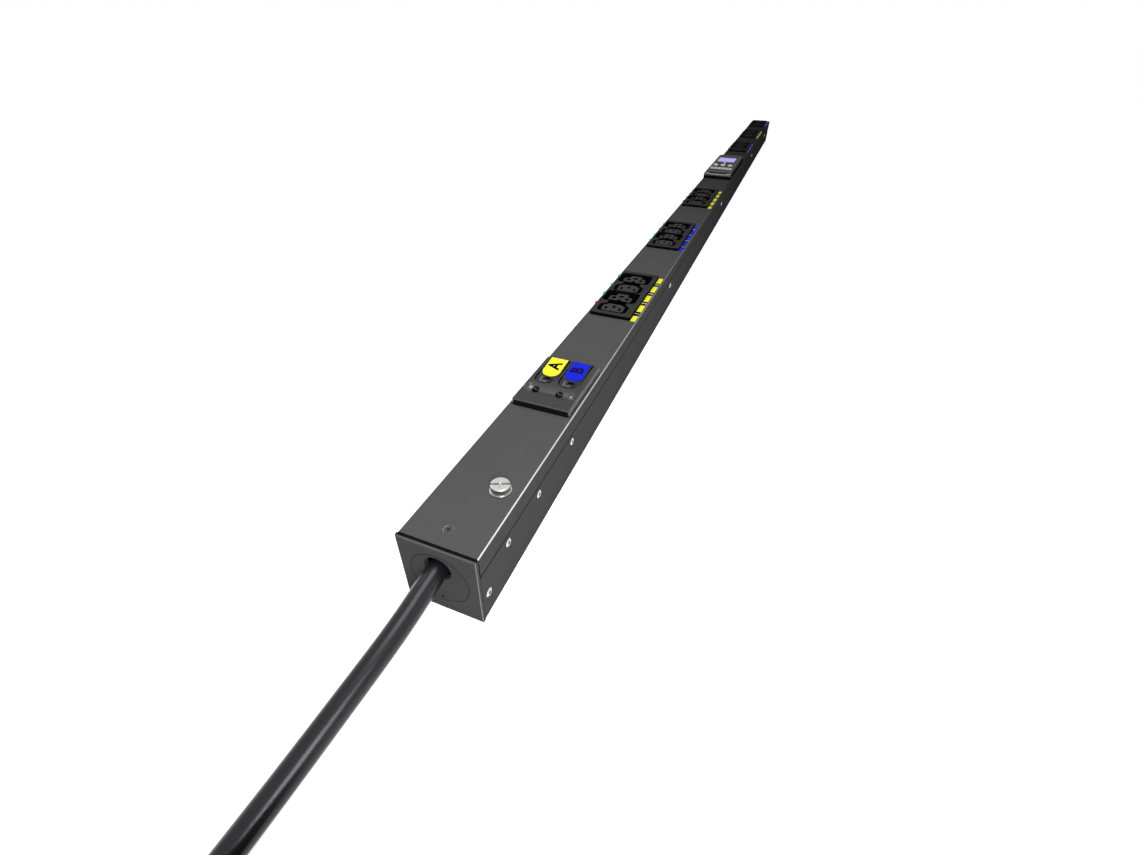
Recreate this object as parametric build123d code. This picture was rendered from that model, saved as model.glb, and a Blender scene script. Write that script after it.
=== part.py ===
from build123d import *
import math
import os

# Housing of folded sheet steel, lying on its back with the outlets up, mm
housing_width = 52.0
housing_height = 54.0
sheet = 1.2
fold_radius = 1.4
seam_drop = 15.4          # upper edge of the rear channel's walls below the face
seam_gap = 0.8            # dark line between channel wall and cover skirt
tongue_drop = 11.6        # how far the cover's joggled tongue reaches below the seam
tongue_clearance = 0.1
cover_end_gap = 0.7       # dark line between the cover and each end plate
channel_end_gap = 0.3
cap_thickness = 2.5
cap_edge = 0.9
cap_tab_length = 14.0

# Outlet modules, four outlets each
module_left_margin = 4.3
module_right_margin = 6.7
module_end_margin = 24.2  # from the last outlet's slots to the module's far edge
module_proud = 3.9
module_flange_overlap = 0.5
module_depth = 17.0       # from the cover's face down to the module's floor
module_gap = 100.5
first_group_start = 305.7
far_group_margin = 17.7   # from the last module to the far end of the steel
modules_in_group = 3
seat_clearance = 0.15
outlet_pitch = 26.4
first_outlet = 13.1       # line and neutral slots of the first outlet, from the module's edge
outlets_in_module = 4
outlet_shift = -1.2       # the outlets' middle from the module's middle
core_slab = 4.0
core_set_back = 0.2       # islands end this far below the module's face

# Small outlet: island with a narrow gap all round
small_half_width = 11.1
small_near = -6.2
small_far = 10.6
small_chamfer = 5.0
small_gap = 4.0
small_near_chamfer = 2.2
small_gap_ends = 2.1

# Large outlet: lobed island in a wide recess
large_left_wall = 1.4
large_right_wall = 4.6
large_near = -9.0
large_far = 17.5
large_corner = 2.6
lobe_half_width = 11.8
lobe_near = -6.3
lobe_far = 4.6
tower_half_width = 6.2
tower_far = 11.2
notch_half_width = 2.3
notch_depth = 5.2
lobe_near_corner = 1.2
tower_corner = 1.6
link_half_width = 9.6

# Contact slots in the islands
blade_pitch = 14.0
earth_offset = 4.4
slot_width = 2.6
slot_length = 5.4
cross_slot_width = 5.0
cross_slot_length = 2.4
contact_thickness = 0.9
contact_length = 4.0
contact_drop = 4.0        # contact tabs end this far below the cover's face
strip_width = 3.0
strip_thickness = 1.2

# Coloured label strips beside the outlets
label_gap = 0.2
label_edge = 1.6          # steel left bare between the strip and the housing's side
label_thickness = 0.35

# Status lenses on the left edge, one beside each outlet
lens_edge = 1.9           # middle of a lens from the housing's side
lens_width = 2.4
lens_length = 3.4
lens_proud = 2.8
lens_stem_radius = 0.8
lens_stem_edge = 3.1
lens_offset = 13.1

# Circuit breaker bezel with two rockers
bezel_start = 136.4
bezel_length = 68.1
bezel_side_margin = 2.5
bezel_centre = 0.4
bezel_proud = 5.7
bezel_edge = 1.0
bezel_corner = 2.0
bezel_skirt = 4.0
bezel_skirt_inset = 1.8
bezel_skirt_wall = 1.6
rocker_pitch = 19.8
rocker_centre = -0.3
rocker_width = 16.4
rocker_lead = 28.0        # from the bezel's near edge to the rockers
rocker_tail = 2.1
rocker_gap = 0.9
rocker_plate = 4.0
rocker_fall = 2.6         # the near end of the rocker lies this much lower than the far end
rocker_far_proud = 1.1
rocker_dip = 2.2          # clear depth below the cover for the rocker's far end when it is off
trunnion_radius = 1.5
trunnion_reach = 1.5
trunnion_clearance = 0.08
trunnion_end_gap = 0.3
drive_tab_width = 4.0
drive_tab_length = 6.0
drive_tab_depth = 7.0
badge_gap = 0.3           # between thumb pad and badge
badge_width = 14.6
badge_thickness = 0.4
badge_margin = 0.9
pad_margin = 2.6          # raised thumb pad on the near end of each rocker
pad_length = 8.6
pad_width = 10.4
pad_height = 0.5
scoop_lead = 12.2
scoop_length = 13.6
scoop_side_margin = 2.2
scoop_depth = 3.6
scoop_shift = -0.9        # the scoop's centre from the bezel's centre
trip_hole_radius = 3.1
trip_hole_tilt = 32.0
trip_hole_offset = -2.6
trip_hole_place = 8.9     # from the scoop's near edge
trip_hole_length = 9.0
trip_hole_sink = 2.5      # its middle below the bezel's face
case_width = 18.4
case_drop = 4.0           # case top below the cover's face
case_bottom = 14.0
case_lead = 3.6
case_tail = 4.5
case_slot_margin = 2.4
case_slot_side = 0.8
case_slot_below = 1.5     # slot floor under the resting tab
case_corner = 1.0
case_foot_place = 4.0     # grooves under the case for the mounting rail
case_foot_half = 2.0
case_foot_depth = 5.0

# Cord entry disc in the end cap
disc_radius = 19.3
disc_lift = 1.5           # disc centre above the middle of the end plate
disc_gap = 0.15
disc_flange = 2.0
disc_flange_thickness = 1.6
cord_hole_radius = 8.8
cord_hole_offset = 8.9
index_hole_radius = 0.9
index_hole_offset = 16.3
index_hole_depth = 1.4

# Supply cord
cord_diameter = 13.0
cord_radius = cord_diameter / 2
cord_inside = 34.0
gland_bore_clearance = 0.6
gland_start = 1.0
gland_length = 22.0
gland_wall_far = 2.6
gland_head_length = 4.0
clamp_start = 25.0
clamp_length = 8.0
clamp_width = 24.0
coil_mid_radius = 72.0
coil_rings = 2
coil_layers = 4
coil_left = -20.0         # the cord's centre line where it reaches the coil
coil_centre_s = -215.0
tail_angle = 200.0
tail_length = 90.0
tail_steps = ((0.0, 0.0, 0.0), (1 / 3, 0.0, 0.4), (2 / 3, 1.0, 1.0), (1.0, 3.4, 1.0))

# Locking plug at the cord's end
plug_radius = 28.0
plug_length = 62.0
plug_neck_radius = 13.0
plug_neck_length = 14.0
blade_circle = 13.4
blade_length = 19.0
blade_thickness = 1.8
blade_arc = 42.0
blade_count = 3

# Display module
display_lead = 97.8       # from the first group of modules
display_length = 190.6
display_follow = 113.7    # from the display to the second group of modules
display_side_margin = 0.7
display_wall = 2.4
display_proud = 10.6
display_bevel = 5.0
display_edge = 1.6
display_lower_inset = 3.0
display_lower_wall = 1.4
display_lower_end = 6.0
display_lower_depth = 10.0
face_thickness = 0.6
face_margin = 3.4
face_lead = 12.0
face_tail = 3.6
screen_lead = 111.0
screen_length = 43.4
screen_side_margin = 4.9
screen_centre = -1.6
screen_thickness = 1.2
light_lead = 92.0
light_length = 15.0
light_width = 3.2
light_proud = 0.2
button_row_lead = 73.0
button_length = 12.0
button_width = 8.0
button_proud = 1.3
button_clearance = 0.35
button_flange = 1.0
button_travel = 0.8
button_corner = 2.4
button_edge = 0.5
button_flange_thickness = 1.4
button_stem_radius = 2.0
button_stop_gap = 0.3     # left over the switch when the key is pressed home
switch_height = 2.0
switch_half = 3.0
button_left_margin = 2.4
button_right_margin = 4.8
button_names = ("button_up", "button_select", "button_down")
port_row_lead = 44.0
port_length = 14.0
port_left_margin = 0.7
port_right_margin = 2.9
port_gap = 1.8
port_wall = 1.0
port_mouth_length = 7.4
port_depth = 12.0
port_latch_half = 3.0     # notch for the plug's latch
port_latch_reach = 1.8
board_thickness = 1.6
display_board_drop = 5.0
display_post_radius = 2.6
display_post_place = 16.0 # from each end of the display housing
display_post_gap = 0.4
display_board_gap = 0.5
face_corner = 3.0
frame_clearance = 0.1     # round the lens, the light bar and the jacks
panel_border = 2.0        # the screen panel's rim beyond the window
panel_end_border = 3.0

# Screws and rivets
screw_place = 12.8
screw_head_radius = 3.0
screw_head_depth = 1.15
screw_shank_radius = 1.5
screw_length = 6.0
cross_length = 2.6        # cross recess in the screw head
cross_width = 0.7
cross_depth = 0.9
earth_screw_x = 12.6
earth_screw_place = 51.5
earth_head_radius = 6.2
earth_head_height = 4.6
earth_flange_radius = 6.9
earth_flange_height = 1.0
earth_shank_radius = 3.0
earth_shank_length = 9.0
earth_slot_width = 1.6
earth_slot_depth = 1.6
earth_slot_turn = 25.0
earth_cross_slot = (6.4, 1.3)
earth_head_edge = 0.7
earth_nut_radius = 5.6
earth_nut_height = 5.0
rivet_head_radius = 2.9
rivet_head_height = 0.9
rivet_hole_radius = 1.2
rivet_shank_radius = 1.6
rivet_drop = 5.4          # side rivets below the seam
near_rivets = (32.5, 76.7, 136.2, 459.2, 862.4)
far_rivets = (474.5, 136.5, 32.5)
cap_rivet_place = 6.2
cap_rivet_height = 18.7

# Hanging points in the rear: clinch nuts for the two mounting pegs
peg_spacing = 1556.0
nut_radius = 4.5
nut_height = 2.2
nut_bore = 2.1
nut_shank_radius = 3.0

# Inside
liner_start = 60.0
liner_margin = 30.0
liner_thickness = 0.4
liner_width = 44.0
carrier_base = 2.0
carrier_length = 8.0
carrier_width = 40.0
carrier_post = 4.0
board_height = 12.0
board_width = 40.0
board_margin = 3.0
carrier_inset = 16.0
carrier_nut_gap = 1.0     # least gap between a carrier and a mounting nut
near_carriers = (124.0, 236.0)
display_carriers = (-49.0, 46.0, 146.0, 256.0)
bar_width = 3.0
bar_height = 6.0
bar_pitch = 8.0
bar_end_margin = 36.0
relay_width = 12.0
relay_length = 18.0
relay_height = 14.0
relay_x = 13.5
block_start = 78.0
block_length = 34.0
block_width = 36.0
block_height = 22.0
block_screw_radius = 2.4
block_slot_depth = 3.0
wire_radius = 1.6
wire_height = 18.0
wire_bend = 8.0

# Places along the housing that follow, from the cord end of the sheet steel
module_length = first_outlet + (outlets_in_module - 1) * outlet_pitch + module_end_margin
module_pitch = module_length + module_gap
group_length = (modules_in_group - 1) * module_pitch + module_length
display_start = first_group_start + group_length + display_lead
second_group_start = display_start + display_length + display_follow
housing_length = second_group_start + group_length + far_group_margin
cord_end = -housing_length / 2
rocker_start = bezel_start + rocker_lead
rocker_length = bezel_length - rocker_lead - rocker_tail
badge_length = rocker_length - pad_margin - pad_length - badge_gap - badge_margin
scoop_start = bezel_start + scoop_lead
case_start = bezel_start + case_lead
case_length = bezel_length - case_lead - case_tail
face_start = display_start + face_lead
face_end = display_start + display_length - face_tail
screen_start = display_start + screen_lead
light_start = display_start + light_lead
button_row = display_start + button_row_lead
port_row = display_start + port_row_lead
rivet_places = near_rivets + tuple(housing_length - place for place in far_rivets)
extra_carriers = near_carriers + tuple(display_start + place for place in display_carriers)

# Widths and places across the housing that follow
module_width = housing_width - module_left_margin - module_right_margin
module_centre = (module_left_margin - module_right_margin) / 2
outlet_centre = module_centre + outlet_shift
large_half_width = (module_width - large_left_wall - large_right_wall) / 2
large_centre = module_centre + (large_left_wall - large_right_wall) / 2
label_left = housing_width / 2 - module_right_margin + label_gap
label_width = module_right_margin - label_gap - label_edge
lens_x = lens_edge - housing_width / 2
lens_stem_x = lens_stem_edge - housing_width / 2
bezel_width = housing_width - 2 * bezel_side_margin
scoop_width = bezel_width - 2 * scoop_side_margin
display_width = housing_width - 2 * display_side_margin
display_lower_width = housing_width - 2 * display_lower_inset
display_inside = display_lower_width / 2 - display_lower_wall
screen_width = 2 * (display_inside - screen_side_margin)
ports_left = port_left_margin - display_inside
ports_right = display_inside - port_right_margin
port_width = (ports_right - ports_left - 2 * port_gap) / 3
port_mouth_width = port_width - 2 * port_wall
port_xs = (ports_left + port_width / 2, (ports_left + ports_right) / 2, ports_right - port_width / 2)
buttons_left = button_left_margin - display_inside
buttons_right = display_inside - button_right_margin
button_middle = (buttons_left + buttons_right) / 2
button_xs = (buttons_left + button_width / 2, button_middle, buttons_right - button_width / 2)

# Heights that follow from the values above
top = housing_height
seam_height = top - seam_drop
module_floor = top - module_depth
contact_top = top - contact_drop
case_top = top - case_drop
disc_height = top / 2 + disc_lift
display_lower_floor = top - display_lower_depth
display_board_top = top - display_board_drop
rivet_height = seam_height - rivet_drop
inner_top = housing_height - sheet
inner_half = housing_width / 2 - sheet
tongue_half = inner_half - tongue_clearance
skirt_bottom = seam_height + seam_gap
tongue_bottom = seam_height - tongue_drop
liner_top = sheet + liner_thickness
face_height = top + module_proud
core_floor = module_floor - core_slab
cord_height = disc_height + cord_hole_offset
bezel_top = top + bezel_proud
rocker_xs = (rocker_centre - rocker_pitch / 2, rocker_centre + rocker_pitch / 2)
rocker_middle = rocker_start + rocker_length / 2
trunnion_height = top + bezel_proud / 2
display_top = top + display_proud
display_ceiling = display_top - display_wall
carrier_top = liner_top + carrier_base
outlet_slots_x = (outlet_centre - blade_pitch / 2, outlet_centre + blade_pitch / 2)

# Cord route, x, distance from the cord end of the steel, height
coil_outer_turn = coil_mid_radius + (coil_rings - 1) * cord_radius
coil_centre_x = coil_left + coil_outer_turn
cord_route = [
    (0.0, cord_inside, cord_height),
    (0.0, -2.0, cord_height),
    (-0.7, -38.0, 31.5),
    (-6.6, -78.0, 22.4),
    (-13.2, -116.0, 12.2),
    (-17.8, -155.0, 6.9),
    (-19.7, -186.0, cord_radius),
    (coil_left, coil_centre_s, cord_radius),
]


def along(s):
    return cord_end + s


def block(x0, x1, s0, s1, z0, z1):
    return Pos((x0 + x1) / 2, along((s0 + s1) / 2), (z0 + z1) / 2) * Box(x1 - x0, s1 - s0, z1 - z0)


def post(x, s, z0, z1, radius):
    stand = (Align.CENTER, Align.CENTER, Align.MIN)
    return Pos(x, along(s), z0) * Cylinder(radius, z1 - z0, align=stand)


def lying(x, s0, s1, z, radius):
    stand = (Align.CENTER, Align.CENTER, Align.MIN)
    return Pos(x, along(s0), z) * Rot(-90, 0, 0) * Cylinder(radius, s1 - s0, align=stand)


def across(x0, x1, s, z, radius):
    stand = (Align.CENTER, Align.CENTER, Align.MIN)
    return Pos(x0, along(s), z) * Rot(0, 90, 0) * Cylinder(radius, x1 - x0, align=stand)


def plan(points, z0, z1):
    """A prism stood on an outline of (x, s) points."""
    outline = [(x, along(s)) for x, s in points]
    return extrude(Plane.XY.offset(z0) * Polygon(*outline, align=None), amount=z1 - z0, dir=(0, 0, 1))


def section(points, s0, s1):
    """A prism run along the housing from an outline of (x, z) points."""
    end = Plane(origin=(0, along(s0), 0), x_dir=(1, 0, 0), z_dir=(0, -1, 0))
    return extrude(end * Polygon(*points, align=None), amount=s1 - s0, dir=(0, 1, 0))


def profile(points, x0, x1):
    """A prism run across the housing from an outline of (s, z) points."""
    side = Plane(origin=(x0, 0, 0), x_dir=(0, 1, 0), z_dir=(1, 0, 0))
    outline = [(along(s), z) for s, z in points]
    return extrude(side * Polygon(*outline, align=None), amount=x1 - x0, dir=(1, 0, 0))


def group(solids):
    return Compound(children=list(solids))


def module_starts():
    near = [first_group_start + module_pitch * i for i in range(modules_in_group)]
    far = [second_group_start + module_pitch * i for i in range(modules_in_group)]
    return near + far


def outlet_places():
    """Distance of each outlet's line and neutral slots from the module's near edge."""
    return [first_outlet + outlet_pitch * i for i in range(outlets_in_module)]


def is_large(index):
    return index % 2 == 1


# Housing

def rivet_positions():
    sides = [(place, rivet_height) for place in rivet_places]
    ends = [(cap_rivet_place, cap_rivet_height), (housing_length - cap_rivet_place, cap_rivet_height)]
    return sides + ends


def peg_places():
    middle = housing_length / 2
    return [middle - peg_spacing / 2, middle + peg_spacing / 2]


def make_rear_channel():
    w = housing_width / 2
    i = inner_half
    outline = [(-w, 0), (w, 0), (w, seam_height), (i, seam_height), (i, sheet), (-i, sheet), (-i, seam_height),
               (-w, seam_height)]
    channel = section(outline, channel_end_gap, housing_length - channel_end_gap)
    corners = channel.edges().filter_by(Axis.Y).group_by(Axis.Z)[0]
    channel = fillet(corners, fold_radius)
    for s, z in rivet_positions():
        channel -= across(-w - 1, w + 1, s, z, rivet_shank_radius)
    for s in peg_places():
        channel -= post(0, s, -1, sheet + 1, nut_shank_radius + 0.05)
    return channel


def make_front_cover():
    w = housing_width / 2
    i = inner_half
    t = tongue_half
    n = tongue_half - sheet
    step = skirt_bottom + sheet
    half = [(w, skirt_bottom), (t, skirt_bottom), (t, tongue_bottom), (n, tongue_bottom), (n, step), (i, step),
            (i, inner_top)]
    outline = [(-w, skirt_bottom), (-w, top), (w, top)] + half + [(-x, z) for x, z in reversed(half)]
    outline = outline[:-1]
    cover = section(outline, cover_end_gap, housing_length - cover_end_gap)
    folds = cover.edges().filter_by(Axis.Y).group_by(Axis.Z)[-1]
    cover = fillet(folds, fold_radius)
    for s in rivet_places:
        cover -= across(-w - 1, w + 1, s, rivet_height, rivet_shank_radius)
    for start in module_starts():
        cover -= module_cutout(start)
        for place in outlet_places():
            s = start + place + lens_offset
            cover -= post(lens_stem_x, s, inner_top - 1, top + 1, lens_stem_radius + 0.1)
    cover -= bezel_cutout()
    cover -= display_cutout()
    for s in (screw_place, housing_length - screw_place):
        cover -= countersink(s)
    cover -= post(earth_screw_x, earth_screw_place, inner_top - 1, top + 1, earth_shank_radius + 0.1)
    return cover


def module_cutout(start):
    inset = module_flange_overlap - seat_clearance
    x0 = module_centre - module_width / 2 + inset
    x1 = module_centre + module_width / 2 - inset
    return block(x0, x1, start + inset, start + module_length - inset, inner_top - 1, top + 1)


def bezel_cutout():
    inset = bezel_skirt_inset - seat_clearance
    x0 = bezel_centre - bezel_width / 2 + inset
    x1 = bezel_centre + bezel_width / 2 - inset
    return block(x0, x1, bezel_start + inset, bezel_start + bezel_length - inset, inner_top - 1, top + 1)


def display_cutout():
    half = display_lower_width / 2 + seat_clearance
    s0 = display_start + display_lower_end - seat_clearance
    s1 = display_start + display_length - display_lower_end + seat_clearance
    return block(-half, half, s0, s1, inner_top - 1, top + 1)


def countersink(s):
    stand = (Align.CENTER, Align.CENTER, Align.MIN)
    funnel = Cone(screw_shank_radius + 0.1, screw_head_radius + 0.1, screw_head_depth, align=stand)
    sink = Pos(0, along(s), top - screw_head_depth) * funnel
    return sink + post(0, s, inner_top - 3, top, screw_shank_radius + 0.1)


def make_cap(face, inward):
    """End plate with its folded tabs; face is the outer plane, inward the way into the housing."""
    w = housing_width / 2
    inner = face + inward * cap_thickness
    near, far = sorted((face, inner))
    plate = block(-w, w, near, far, 0, top)
    outer_face = plate.faces().sort_by(Axis.Y)[0 if inward > 0 else -1]
    plate = fillet(outer_face.edges(), cap_edge)
    tab_near, tab_far = sorted((inner, inner + inward * cap_tab_length))
    for side in (-1, 1):
        x0, x1 = sorted((side * (inner_half - 0.05), side * (inner_half - 0.05 - sheet)))
        plate += block(x0, x1, tab_near, tab_far, sheet + 4, tongue_bottom - 2)
    upper_near, upper_far = sorted((inner, inner + inward * (screw_place + 5)))
    tab = block(-9, 9, upper_near, upper_far, inner_top - 0.05 - 2 * sheet, inner_top - 0.05)
    plate += tab
    s = inner + inward * screw_place
    plate -= post(0, s, inner_top - 6, inner_top + 1, screw_shank_radius + 0.05)
    rivet_s = inner + inward * cap_rivet_place
    plate -= across(-w - 1, w + 1, rivet_s, cap_rivet_height, rivet_shank_radius)
    return plate


def make_cord_end_cap():
    cap = make_cap(-cap_thickness, 1)
    cap -= lying(0, -cap_thickness - 1, 1, disc_height, disc_radius + disc_gap)
    return cap


def make_far_end_cap():
    return make_cap(housing_length + cap_thickness, -1)


def make_cord_entry_disc():
    disc = lying(0, -cap_thickness, 0.1, disc_height, disc_radius)
    disc += lying(0, 0.1, 0.1 + disc_flange_thickness, disc_height, disc_radius + disc_flange)
    disc -= lying(0, -cap_thickness - 1, 5, cord_height, cord_hole_radius)
    index_z = disc_height - index_hole_offset
    disc -= lying(0, -cap_thickness - 1, -cap_thickness + index_hole_depth, index_z, index_hole_radius)
    return disc


# Outlet modules

def chamfered(x, s, half, near, far, chamfer, near_chamfer):
    return [
        (x - half + near_chamfer, s + near),
        (x + half - near_chamfer, s + near),
        (x + half, s + near + near_chamfer),
        (x + half, s + far - chamfer),
        (x + half - chamfer, s + far),
        (x - half + chamfer, s + far),
        (x - half, s + far - chamfer),
        (x - half, s + near + near_chamfer),
    ]


def small_pocket(s, z0, z1):
    ends = small_gap_ends
    outline = chamfered(outlet_centre, s, small_half_width + small_gap, small_near - ends,
                        small_far + ends + 0.5, small_chamfer + 1.5, small_near_chamfer + 1.0)
    return plan(outline, z0, z1)


def large_pocket(s, z0, z1):
    recess = chamfered(large_centre, s, large_half_width, large_near, large_far, large_corner, large_corner)
    pocket = plan(recess, z0, z1)
    x0 = outlet_centre - link_half_width
    x1 = outlet_centre + link_half_width
    near_link = s - outlet_pitch + small_far + small_gap_ends
    pocket += block(x0, x1, near_link, s + large_near + 0.1, z0, z1)
    return pocket


def small_island(s, z0, z1):
    outline = chamfered(outlet_centre, s, small_half_width, small_near, small_far, small_chamfer,
                        small_near_chamfer)
    island = plan(outline, z0, z1)
    for x, ds in slot_centres():
        island -= slot(x, s + ds, z0, z1)
    return island


def large_island(s, z0, z1):
    half = [
        (notch_half_width, lobe_near),
        (lobe_half_width - lobe_near_corner, lobe_near),
        (lobe_half_width, lobe_near + lobe_near_corner),
        (lobe_half_width, lobe_far - tower_corner),
        (lobe_half_width - tower_corner, lobe_far),
        (tower_half_width, lobe_far + 0.4),
        (tower_half_width, tower_far - tower_corner),
        (tower_half_width - tower_corner, tower_far),
    ]
    notch = [(0, lobe_near + notch_depth)]
    mirrored = [(-x, y) for x, y in reversed(half)]
    outline = [(outlet_centre + x, s + y) for x, y in notch + half + mirrored]
    island = plan(outline, z0, z1)
    for x, ds in slot_centres():
        island -= slot(x, s + ds, z0, z1)
        island -= block(x - cross_slot_width / 2, x + cross_slot_width / 2, s + ds - cross_slot_length / 2,
                        s + ds + cross_slot_length / 2, contact_top, z1 + 1)
    return island


def slot_centres():
    return [(outlet_slots_x[0], 0.0), (outlet_slots_x[1], 0.0), (outlet_centre, earth_offset)]


def slot(x, s, z0, z1):
    half_x = slot_width / 2
    half_s = slot_length / 2
    return block(x - half_x, x + half_x, s - half_s, s + half_s, z0 - 1, z1 + 1)


def make_outlet_housing(start):
    x0 = module_centre - module_width / 2
    x1 = module_centre + module_width / 2
    flange = block(x0, x1, start, start + module_length, top, face_height)
    flange = chamfer(flange.faces().sort_by(Axis.Z)[-1].edges(), 0.6)
    inset = module_flange_overlap
    body = block(x0 + inset, x1 - inset, start + inset, start + module_length - inset, module_floor, top + 0.5)
    housing = flange + body
    for index, place in enumerate(outlet_places()):
        pocket = large_pocket if is_large(index) else small_pocket
        housing -= pocket(start + place, module_floor - 1, face_height + 1)
    return housing


def make_outlet_core(start):
    inset = module_flange_overlap + 0.3
    x0 = module_centre - module_width / 2 + inset
    x1 = module_centre + module_width / 2 - inset
    core = block(x0, x1, start + inset, start + module_length - inset, core_floor, module_floor)
    for index, place in enumerate(outlet_places()):
        for x, ds in slot_centres():
            core -= slot(x, start + place + ds, core_floor, module_floor)
    for index, place in enumerate(outlet_places()):
        island = large_island if is_large(index) else small_island
        core += island(start + place, module_floor, face_height - core_set_back)
    return core


def contact_strip(start, x, offset, tail):
    """One brass strip under a module with a contact tab up into each outlet."""
    first = start + outlet_places()[0] + offset
    last = start + outlet_places()[-1] + offset
    half = contact_length / 2
    strip = block(x - strip_width / 2, x + strip_width / 2, first - half, last + half,
                  core_floor - strip_thickness, core_floor)
    for place in outlet_places():
        s = start + place + offset
        strip += block(x - contact_thickness / 2, x + contact_thickness / 2, s - half, s + half,
                       core_floor - strip_thickness, contact_top)
    pin = first + tail
    board_top = board_height + board_thickness
    strip += block(x - contact_thickness / 2, x + contact_thickness / 2, pin - half, pin + half, board_top,
                   core_floor)
    return strip


def make_contacts(which):
    x, offset = slot_centres()[which]
    return group(contact_strip(start, x, offset, outlet_pitch / 2) for start in module_starts())


def make_label(start):
    return block(label_left, label_left + label_width, start, start + module_length, top, top + label_thickness)


def make_status_lenses():
    lenses = []
    for start in module_starts():
        for place in outlet_places():
            s = start + place + lens_offset
            foot = block(lens_x - lens_width / 2, lens_x + lens_width / 2, s - lens_length / 2,
                         s + lens_length / 2, top, top + lens_proud)
            foot = chamfer(foot.faces().sort_by(Axis.Z)[-1].edges(), 0.5)
            lenses.append(foot + post(lens_stem_x, s, inner_top - 6, top + 0.5, lens_stem_radius))
    return group(lenses)


# Circuit breakers

def stadium(x, s0, s1, width, z0, z1):
    """Upright prism with a round near end and a square far end."""
    r = width / 2
    return block(x - r, x + r, s0 + r, s1, z0, z1) + post(x, s0 + r, z0, z1, r)


def rocker_surface(s):
    """Height of the rocker's upper face, which falls towards the cord end."""
    share = (s - rocker_start) / rocker_length
    return bezel_top + rocker_far_proud - rocker_fall * (1 - share)


def under_surface(lift):
    """Everything under the rocker's sloping face, raised by lift."""
    s0 = rocker_start - 2
    s1 = rocker_start + rocker_length + 2
    outline = [(s0, 0), (s1, 0), (s1, rocker_surface(s1) + lift), (s0, rocker_surface(s0) + lift)]
    w = housing_width / 2
    return profile(outline, -w, w)


def make_rocker(x):
    s0 = rocker_start
    s1 = rocker_start + rocker_length
    under = bezel_top - rocker_plate
    rocker = stadium(x, s0, s1, rocker_width, under, bezel_top + 3)
    rocker = rocker & under_surface(0)
    half = rocker_width / 2
    pad_end = s0 + pad_margin + pad_length
    pad = stadium(x, s0 + pad_margin, pad_end, pad_width, bezel_top - 2, bezel_top + 3)
    pad -= block(x - half, x + half, pad_end, s1, bezel_top - 3, bezel_top + 4)
    rocker += pad & under_surface(pad_height)
    rocker += across(x - half - trunnion_reach, x + half + trunnion_reach, rocker_middle, trunnion_height,
                     trunnion_radius)
    tab = drive_tab_length / 2
    rocker += block(x - drive_tab_width / 2, x + drive_tab_width / 2, rocker_middle - tab, rocker_middle + tab,
                    under - drive_tab_depth, under + 0.5)
    return rocker


def make_badge(x):
    """Coloured circuit badge lying on the far end of a rocker."""
    s1 = rocker_start + rocker_length - badge_margin
    s0 = s1 - badge_length
    badge = stadium(x, s0, s1, badge_width, bezel_top - 3, bezel_top + 4)
    return (badge & under_surface(badge_thickness)) - under_surface(0)


def make_breaker_bezel():
    x0 = bezel_centre - bezel_width / 2
    x1 = bezel_centre + bezel_width / 2
    s0 = bezel_start
    s1 = bezel_start + bezel_length
    bezel = block(x0, x1, s0, s1, top, bezel_top)
    upright_edges = bezel.edges().filter_by(Axis.Z)
    bezel = fillet(upright_edges, bezel_corner)
    bezel = chamfer(bezel.faces().sort_by(Axis.Z)[-1].edges(), bezel_edge)
    i = bezel_skirt_inset
    j = i + bezel_skirt_wall
    skirt = block(x0 + i, x1 - i, s0 + i, s1 - i, top - bezel_skirt, top + 0.5)
    skirt -= block(x0 + j, x1 - j, s0 + j, s1 - j, top - bezel_skirt - 1, top)
    bezel += skirt
    for x in rocker_xs:
        opening = rocker_width + 2 * rocker_gap
        bezel -= stadium(x, rocker_start - rocker_gap, rocker_start + rocker_length + rocker_gap, opening,
                         top - rocker_dip, bezel_top + 1)
        half = rocker_width / 2 + trunnion_reach + trunnion_end_gap
        bore = trunnion_radius + trunnion_clearance
        bezel -= across(x - half, x + half, rocker_middle, trunnion_height, bore)
    bezel -= make_scoop()
    for x in rocker_xs:
        bezel -= trip_hole(x)
    return bezel


def make_scoop():
    """Dished finger scoop shared by both rockers: a rounded bar pressed into the surface."""
    radius = (scoop_length ** 2 / 4 + scoop_depth ** 2) / (2 * scoop_depth)
    reach = (scoop_width - scoop_length) / 2
    x = bezel_centre + scoop_shift
    s = scoop_start + scoop_length / 2
    z = bezel_top - scoop_depth + radius
    scoop = across(x - reach, x + reach, s, z, radius)
    for end in (x - reach, x + reach):
        scoop += Pos(end, along(s), z) * Sphere(radius)
    return scoop


def trip_hole(x):
    place = scoop_start + trip_hole_place
    centre = Pos(x + trip_hole_offset, along(place), bezel_top - trip_hole_sink)
    return centre * Rot(trip_hole_tilt, 0, 0) * Cylinder(trip_hole_radius, trip_hole_length)


def make_breaker_case(x):
    half = case_width / 2
    case = block(x - half, x + half, case_start, case_start + case_length, case_bottom, case_top)
    case = chamfer(case.edges().filter_by(Axis.Z), case_corner)
    sx = drive_tab_width / 2 + case_slot_side
    ss = drive_tab_length / 2 + case_slot_margin
    slot_floor = bezel_top - rocker_plate - drive_tab_depth - case_slot_below
    case -= block(x - sx, x + sx, rocker_middle - ss, rocker_middle + ss, slot_floor, case_top + 1)
    f = case_foot_half
    for s in (case_start + case_foot_place, case_start + case_length - case_foot_place):
        case -= block(x - half + f, x + half - f, s - f, s + f, case_bottom - 1, case_bottom + case_foot_depth)
    return case


# Display module

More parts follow.
